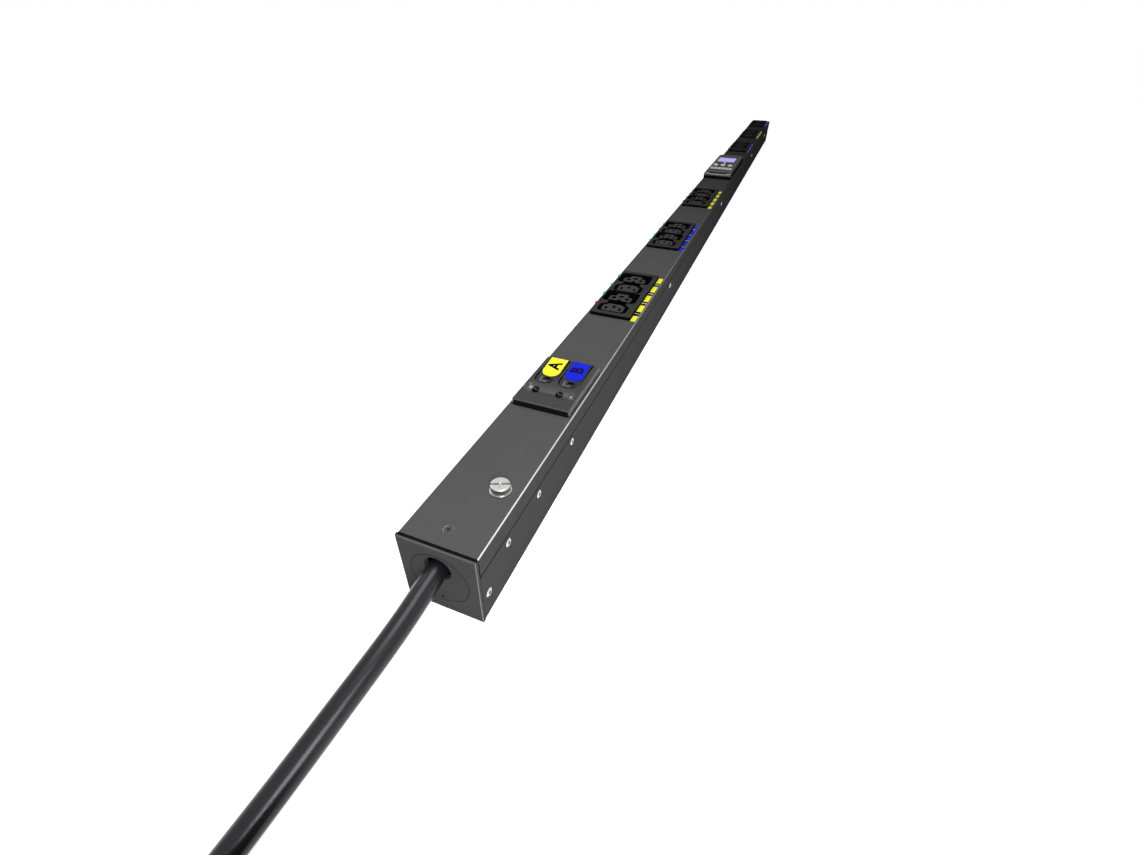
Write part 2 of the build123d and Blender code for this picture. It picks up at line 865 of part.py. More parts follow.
def make_display_housing():
    w = display_width / 2
    s0 = display_start
    s1 = display_start + display_length
    side = [(s0, top), (s1, top), (s1, display_top - 2), (s1 - 2, display_top),
            (s0 + display_bevel, display_top), (s0, display_top - display_bevel)]
    housing = profile(side, -w, w)
    long_edges = housing.edges().filter_by(Axis.Y).group_by(Axis.Z)[-1]
    housing = chamfer(long_edges, display_edge)
    lower = display_lower_width / 2
    e = display_lower_end
    housing += block(-lower, lower, s0 + e, s1 - e, display_lower_floor, top + 0.5)
    d = display_wall
    housing -= block(-display_inside, display_inside, s0 + e + d, s1 - e - d, display_lower_floor - 1,
                     display_ceiling)
    half = screen_width / 2
    housing -= block(screen_centre - half, screen_centre + half, screen_start, screen_start + screen_length,
                     display_ceiling - 1, display_top + 1)
    housing -= block(screen_centre - light_width / 2, screen_centre + light_width / 2, light_start,
                     light_start + light_length, display_ceiling - 1, display_top + 1)
    for x in button_xs:
        housing -= button_hole(x, display_ceiling - 1, display_top + 1)
    for x in port_xs:
        housing -= port_hole(x, display_ceiling - 1, display_top + 1)
    for x, s in display_posts():
        housing += post(x, s, display_board_top, display_ceiling + 0.5, display_post_radius)
    return housing


def display_posts():
    x = display_inside - display_post_radius - display_post_gap
    ends = (display_start + display_post_place, display_start + display_length - display_post_place)
    return [(side * x, s) for side in (-1, 1) for s in ends]


def button_hole(x, z0, z1):
    c = button_clearance
    return block(x - button_width / 2 - c, x + button_width / 2 + c, button_row - button_length / 2 - c,
                 button_row + button_length / 2 + c, z0, z1)


def port_hole(x, z0, z1):
    half_x = port_width / 2 + frame_clearance
    half_s = port_length / 2 + frame_clearance
    return block(x - half_x, x + half_x, port_row - half_s, port_row + half_s, z0, z1)


def make_display_face():
    w = display_width / 2 - face_margin
    z0 = display_top
    z1 = display_top + face_thickness
    face = block(-w, w, face_start, face_end, z0, z1)
    face = fillet(face.edges().filter_by(Axis.Z), face_corner)
    half = screen_width / 2
    face -= block(screen_centre - half, screen_centre + half, screen_start, screen_start + screen_length,
                  z0 - 1, z1 + 1)
    face -= block(screen_centre - light_width / 2, screen_centre + light_width / 2, light_start,
                  light_start + light_length, z0 - 1, z1 + 1)
    for x in button_xs:
        face -= button_hole(x, z0 - 1, z1 + 1)
    for x in port_xs:
        face -= port_hole(x, z0 - 1, z1 + 1)
    return face


def make_screen_lens():
    c = frame_clearance
    half = screen_width / 2 - c
    z1 = display_top + face_thickness
    return block(screen_centre - half, screen_centre + half, screen_start + c, screen_start + screen_length - c,
                 z1 - screen_thickness, z1)


def make_display_light():
    c = frame_clearance
    half = light_width / 2 - c
    z1 = display_top + face_thickness + light_proud
    return block(screen_centre - half, screen_centre + half, light_start + c, light_start + light_length - c,
                 display_ceiling, z1)


def make_screen_panel():
    half = screen_width / 2 + panel_border
    z1 = display_ceiling
    panel = block(screen_centre - half, screen_centre + half, screen_start - panel_end_border,
                  screen_start + screen_length + panel_end_border, display_board_top, z1)
    c = 2 * frame_clearance
    raised = screen_width / 2 - c
    lens_under = display_top + face_thickness - screen_thickness
    panel += block(screen_centre - raised, screen_centre + raised, screen_start + c,
                   screen_start + screen_length - c, z1 - 0.5, lens_under)
    return panel


def make_button(x):
    half_x = button_width / 2
    half_s = button_length / 2
    z1 = display_top + face_thickness + button_proud
    key = block(x - half_x, x + half_x, button_row - half_s, button_row + half_s, display_ceiling - 1, z1)
    key = fillet(key.edges().filter_by(Axis.Z), button_corner)
    key = chamfer(key.faces().sort_by(Axis.Z)[-1].edges(), button_edge)
    f = button_flange
    rim = display_ceiling - 0.2
    key += block(x - half_x - f, x + half_x + f, button_row - half_s - f, button_row + half_s + f,
                 rim - button_flange_thickness, rim)
    stem_end = display_board_top + switch_height + button_travel + button_stop_gap
    return key + post(x, button_row, stem_end, rim - 1, button_stem_radius)


def make_display_board():
    w = display_inside - display_board_gap
    s0 = display_start + display_lower_end + display_wall + display_board_gap
    s1 = display_start + display_length - display_lower_end - display_wall - display_board_gap
    z1 = display_board_top
    board = block(-w, w, s0, s1, z1 - board_thickness, z1)
    for x in button_xs:
        board += block(x - switch_half, x + switch_half, button_row - switch_half, button_row + switch_half,
                       z1 - 0.2, z1 + switch_height)
    return board


def make_port(x):
    half_x = port_width / 2
    half_s = port_length / 2
    z1 = display_top + face_thickness
    jack = block(x - half_x, x + half_x, port_row - half_s, port_row + half_s, display_board_top, z1)
    mx = port_mouth_width / 2
    ms = port_mouth_length / 2
    jack -= block(x - mx, x + mx, port_row - ms, port_row + ms, z1 - port_depth, z1 + 1)
    latch = port_latch_half
    jack -= block(x - latch, x + latch, port_row + ms - 1, port_row + ms + port_latch_reach,
                  z1 - port_depth, z1 + 1)
    return jack


# Fasteners

def make_cover_screws():
    screws = []
    stand = (Align.CENTER, Align.CENTER, Align.MIN)
    for s in (screw_place, housing_length - screw_place):
        head = Cone(screw_shank_radius, screw_head_radius, screw_head_depth, align=stand)
        screw = Pos(0, along(s), top - screw_head_depth) * head
        screw += post(0, s, top - screw_length, top - screw_head_depth, screw_shank_radius)
        for turn in (0, 90):
            arm = Pos(0, along(s), top) * Rot(0, 0, turn) * Box(cross_length, cross_width, 2 * cross_depth)
            screw -= arm
        screws.append(screw)
    return group(screws)


def make_earth_screw():
    x = earth_screw_x
    s = earth_screw_place
    z0 = top
    z1 = top + earth_flange_height
    z2 = z1 + earth_head_height
    screw = post(x, s, z0, z1, earth_flange_radius)
    head = post(x, s, z1, z2, earth_head_radius)
    head = fillet(head.edges().sort_by(Axis.Z)[-1], earth_head_edge)
    screw += head
    screw += post(x, s, top - earth_shank_length, z0 + 0.5, earth_shank_radius)
    reach = 2 * earth_head_radius + 1
    deep = 2 * earth_slot_depth
    screw -= Pos(x, along(s), z2) * Rot(0, 0, earth_slot_turn) * Box(reach, earth_slot_width, deep)
    screw -= Pos(x, along(s), z2) * Rot(0, 0, earth_slot_turn + 90) * Box(*earth_cross_slot, deep)
    return screw


def make_earth_nut():
    bottom = inner_top - earth_nut_height
    outline = Pos(earth_screw_x, along(earth_screw_place)) * RegularPolygon(earth_nut_radius, 6)
    nut = extrude(Plane.XY.offset(bottom) * outline, amount=earth_nut_height)
    return nut - post(earth_screw_x, earth_screw_place, bottom - 1, inner_top + 1, earth_shank_radius + 0.05)


def make_rivet(side, s, z, grip):
    """Blind rivet through the side wall, head outside, with its hollow mandrel hole."""
    h = rivet_head_height
    r = rivet_head_radius
    outline = [(rivet_hole_radius, -grip), (rivet_shank_radius - 0.05, -grip), (rivet_shank_radius - 0.05, 0),
               (r, 0), (r, h * 0.35), (r * 0.72, h), (rivet_hole_radius, h)]
    body = revolve(Plane.XZ * Polygon(*outline, align=None), Axis.Z)
    return Pos(side * housing_width / 2, along(s), z) * Rot(0, 90 * side, 0) * body


def make_side_rivets():
    grip = 3 * sheet + tongue_clearance
    return group(make_rivet(side, s, z, grip) for side in (-1, 1) for s, z in rivet_positions())


def make_mounting_nuts():
    nuts = []
    for s in peg_places():
        nut = post(0, s, 0, sheet + 0.5, nut_shank_radius) + post(0, s, sheet, sheet + nut_height, nut_radius)
        nuts.append(nut - post(0, s, -1, sheet + nut_height + 1, nut_bore))
    return group(nuts)


# Supply cord, gland, clamp and plug

def cord_points(route):
    return [Vector(x, along(s), z) for x, s, z in route]


def cord_tube(route, radius):
    """Round tube along straight runs joined by tangent arcs; prints each arc's radius."""
    points = cord_points(route)
    radii = []
    for a, b, c in zip(points, points[1:], points[2:]):
        shorter = min((b - a).length, (c - b).length)
        turn = math.radians((b - a).get_angle(c - b))
        radii.append(0.45 * shorter / math.tan(turn / 2))
    print("cord arc radii", [round(r, 1) for r in radii])
    path = FilletPolyline(*points, radius=radii)
    start = Plane(origin=points[0], z_dir=points[1] - points[0])
    tube = sweep(start * Circle(radius), path=path)
    expected = math.pi * radius ** 2 * path.length
    print("cord length", round(path.length, 1), "volume", round(tube.volume), "expected", round(expected))
    return tube


def make_cord_gland():
    """Rubber bushing in the entry hole, tapering inwards along the cord."""
    bore = cord_radius + gland_bore_clearance
    head = cord_hole_radius - 0.1
    s0 = gland_start
    s1 = gland_start + gland_head_length
    s2 = gland_start + gland_length
    outline = [(bore, 0), (head, 0), (head, s1 - s0), (bore + gland_wall_far, s1 - s0 + 0.5),
               (bore + gland_wall_far / 2, s2 - s0), (bore, s2 - s0)]
    body = revolve(Plane.XZ * Polygon(*outline, align=None), Axis.Z)
    return Pos(0, along(s0), cord_height) * Rot(-90, 0, 0) * body


def make_cable_clamp():
    half = clamp_width / 2
    s0 = clamp_start
    s1 = clamp_start + clamp_length
    clamp = block(-half, half, s0, s1, sheet, cord_height)
    clamp += lying(0, s0, s1, cord_height, half)
    clamp -= block(-half - 1, half + 1, s0 - 1, s1 + 1, inner_top - 0.5, top)
    return clamp - lying(0, s0 - 1, s1 + 1, cord_height, cord_radius + 0.1)


def coil_extent():
    half_band = coil_rings * cord_diameter / 2
    return coil_mid_radius - half_band, coil_mid_radius + half_band, coil_layers * cord_diameter


def make_cord_coil():
    inner, outer, height = coil_extent()
    edge = cord_radius * 0.8
    outline = [(inner, edge), (inner + edge, 0), (outer - edge, 0), (outer, edge), (outer, height - edge),
               (outer - edge, height), (inner + edge, height), (inner, height - edge)]
    ring = revolve(Plane.XZ * Polygon(*outline, align=None), Axis.Z)
    return Pos(coil_centre_x, along(coil_centre_s), 0) * ring


def tail_frame():
    """Where the cord leaves the coil's outer ring, and the way it runs on to the plug."""
    angle = math.radians(tail_angle)
    x = coil_centre_x + coil_outer_turn * math.cos(angle)
    s = coil_centre_s + coil_outer_turn * math.sin(angle)
    return x, s, -math.sin(angle), math.cos(angle)


def tail_route():
    x, s, dx, ds = tail_frame()
    z = (coil_layers - 0.5) * cord_diameter
    drop = z - plug_radius
    return [(x + dx * tail_length * t + ds * out, s + ds * tail_length * t - dx * out, z - drop * down)
            for t, out, down in tail_steps]


def plug_plane():
    """Plane at the plug's cord end, facing the way the plug points."""
    before, end = cord_points(tail_route())[-2:]
    return Plane(origin=end, x_dir=(0, 0, 1), z_dir=end - before)


def make_plug_body():
    neck = plug_neck_length
    end = neck + plug_length
    r = plug_radius
    outline = [(0, 0), (plug_neck_radius - 3, 0), (plug_neck_radius, 4), (plug_neck_radius + 2, neck - 2),
               (plug_neck_radius + 4, neck), (r - 4, neck + 5), (r - 4, neck + 26), (r, neck + 30),
               (r, end - 2), (r - 2, end), (0, end)]
    body = revolve(Plane.XZ * Polygon(*outline, align=None), Axis.Z)
    return Location(plug_plane()) * body


def make_plug_blades():
    """Three curved blades of a locking plug, one with its hooked foot."""
    blades = []
    start = plug_neck_length + plug_length
    outer = blade_circle + blade_thickness / 2
    inner = blade_circle - blade_thickness / 2
    for i in range(blade_count):
        ring = Cylinder(outer, blade_length, align=(Align.CENTER, Align.CENTER, Align.MIN))
        ring -= Cylinder(inner, blade_length, align=(Align.CENTER, Align.CENTER, Align.MIN))
        half = math.radians(blade_arc) / 2
        far = 3 * outer
        wedge_points = [(0, 0), (far * math.cos(half), -far * math.sin(half)), (far * math.cos(half),
                        far * math.sin(half))]
        wedge = extrude(Polygon(*wedge_points, align=None), amount=blade_length)
        blade = ring & wedge
        if i == 0:
            foot = Pos(outer, 0, blade_length - 3) * Box(5, 5, 3, align=(Align.MIN, Align.CENTER, Align.MIN))
            foot = Pos(-1, 0, 0) * foot
            blade += foot
        blades.append(Location(plug_plane()) * Pos(0, 0, start) * Rot(0, 0, 360 * i / blade_count) * blade)
    return group(blades)


# Inside the housing

def make_liner():
    half = liner_width / 2
    liner = block(-half, half, liner_start, housing_length - liner_margin, sheet, liner_top)
    for s in peg_places():
        liner -= post(0, s, 0, liner_top + 1, nut_radius + 0.5)
    return liner


def clear_of_nuts(s):  # a carrier that a mounting nut would meet stands beside it
    reach = nut_radius + carrier_nut_gap + carrier_length / 2
    for nut in peg_places():
        if abs(s - nut) < reach:
            return nut + reach if s > nut else nut - reach
    return s


def carrier_places():
    places = list(extra_carriers)
    for start in module_starts():
        places += [start + carrier_inset, start + module_length - carrier_inset]
    return [clear_of_nuts(s) for s in places]


def make_board_carriers():
    """Moulded saddles that hold the busbars and carry the boards."""
    carriers = []
    half = carrier_width / 2
    for s in carrier_places():
        s0 = s - carrier_length / 2
        s1 = s + carrier_length / 2
        carrier = block(-half, half, s0, s1, liner_top, carrier_top)
        for side in (-1, 1):
            x0, x1 = sorted((side * half, side * (half - carrier_post)))
            carrier += block(x0, x1, s0, s1, liner_top, board_height)
        carriers.append(carrier)
    return group(carriers)


def bar_xs():
    return [-bar_pitch, 0.0, bar_pitch]


def make_feed_busbars():
    s0 = block_start + block_length
    s1 = housing_length - bar_end_margin
    half = bar_width / 2
    return group(block(x - half, x + half, s0, s1, carrier_top, carrier_top + bar_height) for x in bar_xs())


def make_outlet_boards():
    half = board_width / 2
    boards = []
    for start in module_starts():
        boards.append(block(-half, half, start + board_margin, start + module_length - board_margin,
                            board_height, board_height + board_thickness))
    return group(boards)


def make_outlet_relays():
    z0 = board_height + board_thickness
    relays = []
    for start in module_starts():
        for place in outlet_places():
            s = start + place
            relays.append(block(relay_x - relay_width / 2, relay_x + relay_width / 2, s - relay_length / 2,
                                s + relay_length / 2, z0, z0 + relay_height))
    return group(relays)


def make_terminal_block():
    half = block_width / 2
    s0 = block_start
    s1 = block_start + block_length
    z1 = liner_top + block_height
    terminal = block(-half, half, s0, s1, liner_top, z1)
    for i in (-1, 0, 1):
        x = i * block_width / 3
        for s in (s0 + 8, s1 - 8):
            terminal -= post(x, s, z1 - block_slot_depth, z1 + 1, block_screw_radius)
    return terminal


def wire(points):
    path = FilletPolyline(*[Vector(x, along(s), z) for x, s, z in points], radius=wire_bend)
    first = Vector(points[0][0], along(points[0][1]), points[0][2])
    second = Vector(points[1][0], along(points[1][1]), points[1][2])
    return sweep(Plane(origin=first, z_dir=second - first) * Circle(wire_radius), path=path)


def make_internal_wires():
    """Cord conductors to the terminal block, block to breakers, breakers to busbars."""
    wires = []
    starts = [(-2.6, cord_height - 1.6), (0.0, cord_height + 2.4), (2.6, cord_height - 1.6)]
    for i, (x, z) in zip((-1, 0, 1), starts):
        x1 = i * block_width / 3
        wires.append(wire([(x, cord_inside, z), (x, cord_inside + 9, z), (x1, block_start - 9, wire_height),
                           (x1, block_start, wire_height)]))
    for i, x in zip((-1, 1), rocker_xs):
        x0 = i * block_width / 3
        s1 = block_start + block_length
        x1 = x + i * 3
        high = wire_height + 6
        wires.append(wire([(x0, s1, wire_height), (x0, s1 + 9, wire_height), (x1, case_start - 9, high),
                           (x1, case_start, high)]))
    for i in (-1, 1):
        wires.append(post(i * bar_pitch, case_start + case_length - 12, carrier_top + bar_height, case_bottom,
                          wire_radius * 0.9))
    return group(wires)


def build():
    parts = {
        "rear_channel": make_rear_channel(),
        "front_cover": make_front_cover(),
        "cord_end_cap": make_cord_end_cap(),
        "far_end_cap": make_far_end_cap(),
        "cord_entry_disc": make_cord_entry_disc(),
        "cord_gland": make_cord_gland(),
        "cable_clamp": make_cable_clamp(),
        "supply_cord": cord_tube(cord_route, cord_radius),
        "supply_cord_coil": make_cord_coil(),
        "supply_cord_tail": cord_tube(tail_route(), cord_radius),
        "plug_body": make_plug_body(),
        "plug_blades": make_plug_blades(),
        "breaker_bezel": make_breaker_bezel(),
        "line_contacts": make_contacts(0),
        "neutral_contacts": make_contacts(1),
        "earth_contacts": make_contacts(2),
        "yellow_outlet_labels": group(make_label(start) for start in yellow_modules()),
        "blue_outlet_labels": group(make_label(start) for start in blue_modules()),
        "status_lenses": make_status_lenses(),
        "display_housing": make_display_housing(),
        "display_face": make_display_face(),
        "screen_lens": make_screen_lens(),
        "screen_panel": make_screen_panel(),
        "display_light": make_display_light(),
        "display_board": make_display_board(),
        "display_ports": group(make_port(x) for x in port_xs),
        "cover_screws": make_cover_screws(),
        "earth_screw": make_earth_screw(),
        "earth_nut": make_earth_nut(),
        "side_rivets": make_side_rivets(),
        "mounting_nuts": make_mounting_nuts(),
        "insulation_liner": make_liner(),
        "board_carriers": make_board_carriers(),
        "feed_busbars": make_feed_busbars(),
        "outlet_boards": make_outlet_boards(),
        "outlet_relays": make_outlet_relays(),
        "terminal_block": make_terminal_block(),
        "internal_wires": make_internal_wires(),
    }
    for letter, x in zip("ab", rocker_xs):
        parts["breaker_case_" + letter] = make_breaker_case(x)
        parts["breaker_rocker_" + letter] = make_rocker(x)
        parts["circuit_badge_" + letter] = make_badge(x)
    for number, start in enumerate(module_starts(), 1):
        parts[f"outlet_housing_{number}"] = make_outlet_housing(start)
        parts[f"outlet_core_{number}"] = make_outlet_core(start)
    for name, x in zip(button_names, button_xs):
        parts[name] = make_button(x)
    return parts


def yellow_modules():
    starts = module_starts()
    return [starts[0], starts[2], starts[4]]


def blue_modules():
    starts = module_starts()
    return [starts[1], starts[3], starts[5]]


os.makedirs("parts", exist_ok=True)
for node, shape in build().items():
    export_step(shape, f"parts/{node}.step")
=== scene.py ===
import math

import bmesh
import bpy
from mathutils import Matrix, Vector


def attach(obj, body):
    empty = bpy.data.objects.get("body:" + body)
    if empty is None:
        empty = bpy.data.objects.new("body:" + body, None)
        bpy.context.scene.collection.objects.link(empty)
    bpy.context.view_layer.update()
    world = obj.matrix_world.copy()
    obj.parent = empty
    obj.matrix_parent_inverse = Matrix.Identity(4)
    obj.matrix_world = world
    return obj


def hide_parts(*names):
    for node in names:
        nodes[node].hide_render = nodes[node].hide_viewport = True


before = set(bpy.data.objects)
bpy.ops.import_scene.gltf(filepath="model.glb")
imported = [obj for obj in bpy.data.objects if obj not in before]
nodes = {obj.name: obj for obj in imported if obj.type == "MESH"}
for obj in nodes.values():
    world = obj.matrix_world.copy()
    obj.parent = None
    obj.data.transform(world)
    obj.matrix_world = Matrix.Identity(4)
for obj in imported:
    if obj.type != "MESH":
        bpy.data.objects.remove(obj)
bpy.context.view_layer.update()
mm = 0.001  # the scene is in metres, and values without a note are in mm
housingLength = 1826.5  # steel between the end plates
steelEnd = housingLength / 2  # from the middle to either end of that steel


def along(s):  # place along the housing, measured from the cord end of the steel
    return (s - steelEnd) * mm


def at(x, s, z):
    return Vector((x * mm, along(s), z * mm))


def place(piece, body):
    bpy.context.scene.collection.objects.link(piece)
    if body:
        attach(piece, body)
    return piece


def meshPiece(name, shape, body, material):
    bmesh.ops.recalc_face_normals(shape, faces=shape.faces)
    data = bpy.data.meshes.new(name)
    shape.to_mesh(data)
    shape.free()
    data.materials.append(material)
    return place(bpy.data.objects.new(name, data), body)


# Camera, as fitted to the photograph, with its place in metres
cameraSettings = {
    "place": (0.13390, along(-147.44), 0.28060),
    "right": (0.92405, 0.38225, 0.00367),
    "up": (-0.22901, 0.54586, 0.80597),
    "forward": (-0.30608, 0.74560, -0.59194),
    "sensor": 36.0,
    "lens": 16.511,
    "shiftX": 0.00785,
    "shiftY": -0.01108,
    "nearest": 0.01,  # what it sees starts and ends here, in metres
    "farthest": 50.0,
}


def addCamera():
    print("camera")
    data = bpy.data.cameras.new("camera")
    data.sensor_fit = "HORIZONTAL"
    data.sensor_width = cameraSettings["sensor"]
    data.lens = cameraSettings["lens"]
    data.shift_x = cameraSettings["shiftX"]
    data.shift_y = cameraSettings["shiftY"]
    data.clip_start = cameraSettings["nearest"]
    data.clip_end = cameraSettings["farthest"]
    camera = bpy.data.objects.new("camera", data)
    right = Vector(cameraSettings["right"])
    up = Vector(cameraSettings["up"])
    back = -Vector(cameraSettings["forward"])
    turn = Matrix((right, up, back)).transposed().to_4x4()
    camera.matrix_world = Matrix.Translation(cameraSettings["place"]) @ turn
    bpy.context.scene.collection.objects.link(camera)
    bpy.context.scene.camera = camera


# Surface finishes
# colour, roughness, metal, specular level, clear coat, grain size in mm, grain depth, mottle
finishes = {
    "housing_paint": ((0.088, 0.088, 0.089), 0.55, 0.0, 0.00, 0.0, 0.45, 0.10, 0.05),
    "disc_plastic": ((0.084, 0.084, 0.086), 0.50, 0.0, 0.00, 0.0, 0.35, 0.08, 0.05),
    "black_rubber": ((0.009, 0.009, 0.011), 0.26, 0.0, 0.30, 0.0, 0.60, 0.12, 0.15),
    # black rubber, partly its own colour and partly painted shade: darker and duller than the cord for
    # the shade in the entry hole round the cord
    "gland_rubber_in_shade": ((0.003, 0.003, 0.003), 0.70, 0.0, 0.00, 0.0, 0.60, 0.12, 0.15),
    "black_nylon": ((0.014, 0.014, 0.014), 0.50, 0.0, 0.30, 0.0, 0.30, 0.10, 0.15),
    "blade_brass": ((0.70, 0.54, 0.26), 0.24, 1.0, 0.50, 0.0, 0.20, 0.05, 0.08),
    "bezel_plastic": ((0.026, 0.026, 0.027), 0.32, 0.0, 0.22, 0.0, 0.30, 0.05, 0.08),
    "rocker_plastic": ((0.016, 0.016, 0.017), 0.32, 0.0, 0.22, 0.0, 0.25, 0.05, 0.10),
    "case_plastic": ((0.015, 0.015, 0.016), 0.50, 0.0, 0.30, 0.0, 0.30, 0.10, 0.10),
    "yellow_print": ((0.960, 0.950, 0.040), 0.50, 0.0, 0.05, 0.0, 0.30, 0.03, 0.04),
    "blue_print": ((0.006, 0.020, 0.620), 0.50, 0.0, 0.05, 0.0, 0.30, 0.03, 0.05),
    "outlet_plastic": ((0.042, 0.042, 0.043), 0.50, 0.0, 0.00, 0.0, 0.30, 0.08, 0.08),
    "core_plastic": ((0.058, 0.058, 0.060), 0.50, 0.0, 0.00, 0.0, 0.30, 0.08, 0.08),
    "brass_contact": ((0.75, 0.60, 0.30), 0.28, 1.0, 0.50, 0.0, 0.25, 0.04, 0.08),
    "copper_bar": ((0.72, 0.38, 0.22), 0.32, 1.0, 0.50, 0.0, 0.50, 0.05, 0.12),
    "board_green": ((0.02, 0.13, 0.05), 0.40, 0.0, 0.40, 0.2, 0.80, 0.04, 0.20),
    "relay_plastic": ((0.012, 0.012, 0.012), 0.45, 0.0, 0.40, 0.0, 0.30, 0.06, 0.10),
    "carrier_plastic": ((0.05, 0.05, 0.05), 0.50, 0.0, 0.40, 0.0, 0.30, 0.06, 0.06),
    "liner_film": ((0.012, 0.012, 0.012), 0.35, 0.0, 0.40, 0.0, 2.00, 0.05, 0.05),
    "display_plastic": ((0.095, 0.095, 0.096), 0.50, 0.0, 0.00, 0.0, 0.35, 0.08, 0.08),
    "face_film": ((0.120, 0.120, 0.122), 0.50, 0.0, 0.00, 0.0, 0.40, 0.05, 0.10),
    "key_plastic": ((0.75, 0.75, 0.77), 0.40, 0.0, 0.30, 0.0, 0.25, 0.04, 0.06),
    "port_metal": ((0.72, 0.72, 0.72), 0.34, 1.0, 0.50, 0.0, 0.40, 0.05, 0.10),
    "plated_steel": ((0.500, 0.500, 0.490), 0.32, 1.0, 0.50, 0.0, 0.35, 0.06, 0.12),
    "zinc_steel": ((0.500, 0.500, 0.490), 0.32, 1.0, 0.50, 0.0, 0.35, 0.06, 0.12),
    "black_steel": ((0.050, 0.050, 0.052), 0.36, 0.3, 0.30, 0.0, 0.20, 0.05, 0.10),
    "wire_insulation": ((0.012, 0.012, 0.013), 0.40, 0.0, 0.40, 0.0, 0.30, 0.05, 0.10),
    "white_print": ((0.800, 0.800, 0.810), 0.50, 0.0, 0.05, 0.0, 0.30, 0.03, 0.05),
    # black for print, and for painted shade in the disc's gap and the display's groove
    "black_print_and_shade": ((0.004, 0.004, 0.004), 0.60, 0.0, 0.00, 0.0, 0.30, 0.04, 0.10),
    # grey for print, and for the painted highlight on the rockers' thumb pads
    "grey_print_and_highlight": ((0.240, 0.240, 0.240), 0.50, 0.0, 0.05, 0.0, 0.30, 0.04, 0.10),
    # painted highlight on the display's lip
    "pale_highlight": ((0.42, 0.42, 0.42), 0.40, 0.0, 0.30, 0.0, 0.30, 0.04, 0.10),
    "indigo_print": ((0.012, 0.006, 0.075), 0.60, 0.0, 0.00, 0.0, 0.30, 0.04, 0.10),
    "light_plastic": ((0.70, 0.70, 0.74), 0.30, 0.0, 0.40, 0.0, 0.30, 0.03, 0.05),
}
# What all finishes share, sizes in mm
finishSettings = {
    "smearSize": 22.0,  # patches that are a little rougher or smoother
    "cloudSize": 14.0,  # patches that are a little lighter or darker
    "patchDetail": 3.0,
    "grainDetail": 2.0,
    "grainHeight": 0.4,
    "roughSpread": 0.06,
    "coatRough": 0.2,
}


def newMaterial(name):
    material = bpy.data.materials.new(name)
    material.use_nodes = True
    tree = material.node_tree
    tree.nodes.clear()
    output = tree.nodes.new("ShaderNodeOutputMaterial")
    shader = tree.nodes.new("ShaderNodeBsdfPrincipled")
    coords = tree.nodes.new("ShaderNodeTexCoord")
    tree.links.new(shader.outputs["BSDF"], output.inputs["Surface"])
    return material, tree, shader, coords


def partsOf(material):  # its node tree, shader and coordinates
    tree = material.node_tree
    shader = next(node for node in tree.nodes if node.type == "BSDF_PRINCIPLED")
    coords = next(node for node in tree.nodes if node.type == "TEX_COORD")
    return tree, shader, coords


def axesOf(tree, vector):  # three outputs, named X, Y and Z
    split = tree.nodes.new("ShaderNodeSeparateXYZ")
    tree.links.new(vector, split.inputs["Vector"])
    return split.outputs


def mathNode(tree, operation, *values):  # each value may be a socket or a number
    node = tree.nodes.new("ShaderNodeMath")
    node.operation = operation
    for socket, value in zip(node.inputs, values):
        if isinstance(value, (int, float)):
            socket.default_value = value
        else:
            tree.links.new(value, socket)
    return node.outputs["Value"]


def rampNode(tree, value, fromFirst, fromLast, toFirst=0.0, toLast=1.0):
    ramp = tree.nodes.new("ShaderNodeMapRange")
    tree.links.new(value, ramp.inputs["Value"])
    ramp.inputs["From Min"].default_value = fromFirst
    ramp.inputs["From Max"].default_value = fromLast
    ramp.inputs["To Min"].default_value = toFirst
    ramp.inputs["To Max"].default_value = toLast
    return ramp.outputs["Result"]


# A mask is 1 where it holds and 0 elsewhere
def above(tree, value, limit):
    return mathNode(tree, "GREATER_THAN", value, limit)


def below(tree, value, limit):
    return mathNode(tree, "LESS_THAN", value, limit)


def opposite(tree, mask):
    return mathNode(tree, "SUBTRACT", 1.0, mask)


def allOf(tree, first, *others):
    for mask in others:
        first = mathNode(tree, "MULTIPLY", first, mask)
    return first


def anyOf(tree, first, *others):
    for mask in others:
        first = mathNode(tree, "MAXIMUM", first, mask)
    return first


def noiseNode(tree, coords, size, detail):
    noise = tree.nodes.new("ShaderNodeTexNoise")
    noise.inputs["Scale"].default_value = 1 / (size * mm)
    noise.inputs["Detail"].default_value = detail
    tree.links.new(coords.outputs["Object"], noise.inputs["Vector"])
    return noise.outputs["Fac"]


def addGrain(tree, shader, coords, size, depth):
    bump = tree.nodes.new("ShaderNodeBump")
    bump.inputs["Strength"].default_value = depth
    bump.inputs["Distance"].default_value = finishSettings["grainHeight"] * mm
    tree.links.new(noiseNode(tree, coords, size, finishSettings["grainDetail"]), bump.inputs["Height"])
    tree.links.new(bump.outputs["Normal"], shader.inputs["Normal"])


def addRoughness(tree, shader, coords, rough, spread):
    smear = noiseNode(tree, coords, finishSettings["smearSize"], finishSettings["patchDetail"])
    levels = rampNode(tree, smear, 0.0, 1.0, rough - spread, rough + spread)
    tree.links.new(levels, shader.inputs["Roughness"])


def mottled(tree, coords, colour, amount):  # a colour that varies a little from place to place
    mix = tree.nodes.new("ShaderNodeMix")
    mix.data_type = "RGBA"
    mix.inputs["A"].default_value = (*[c * (1 - amount) for c in colour], 1)
    mix.inputs["B"].default_value = (*[min(c * (1 + amount), 1) for c in colour], 1)
    cloud = noiseNode(tree, coords, finishSettings["cloudSize"], finishSettings["patchDetail"])
    tree.links.new(cloud, mix.inputs["Factor"])
    return mix.outputs["Result"]


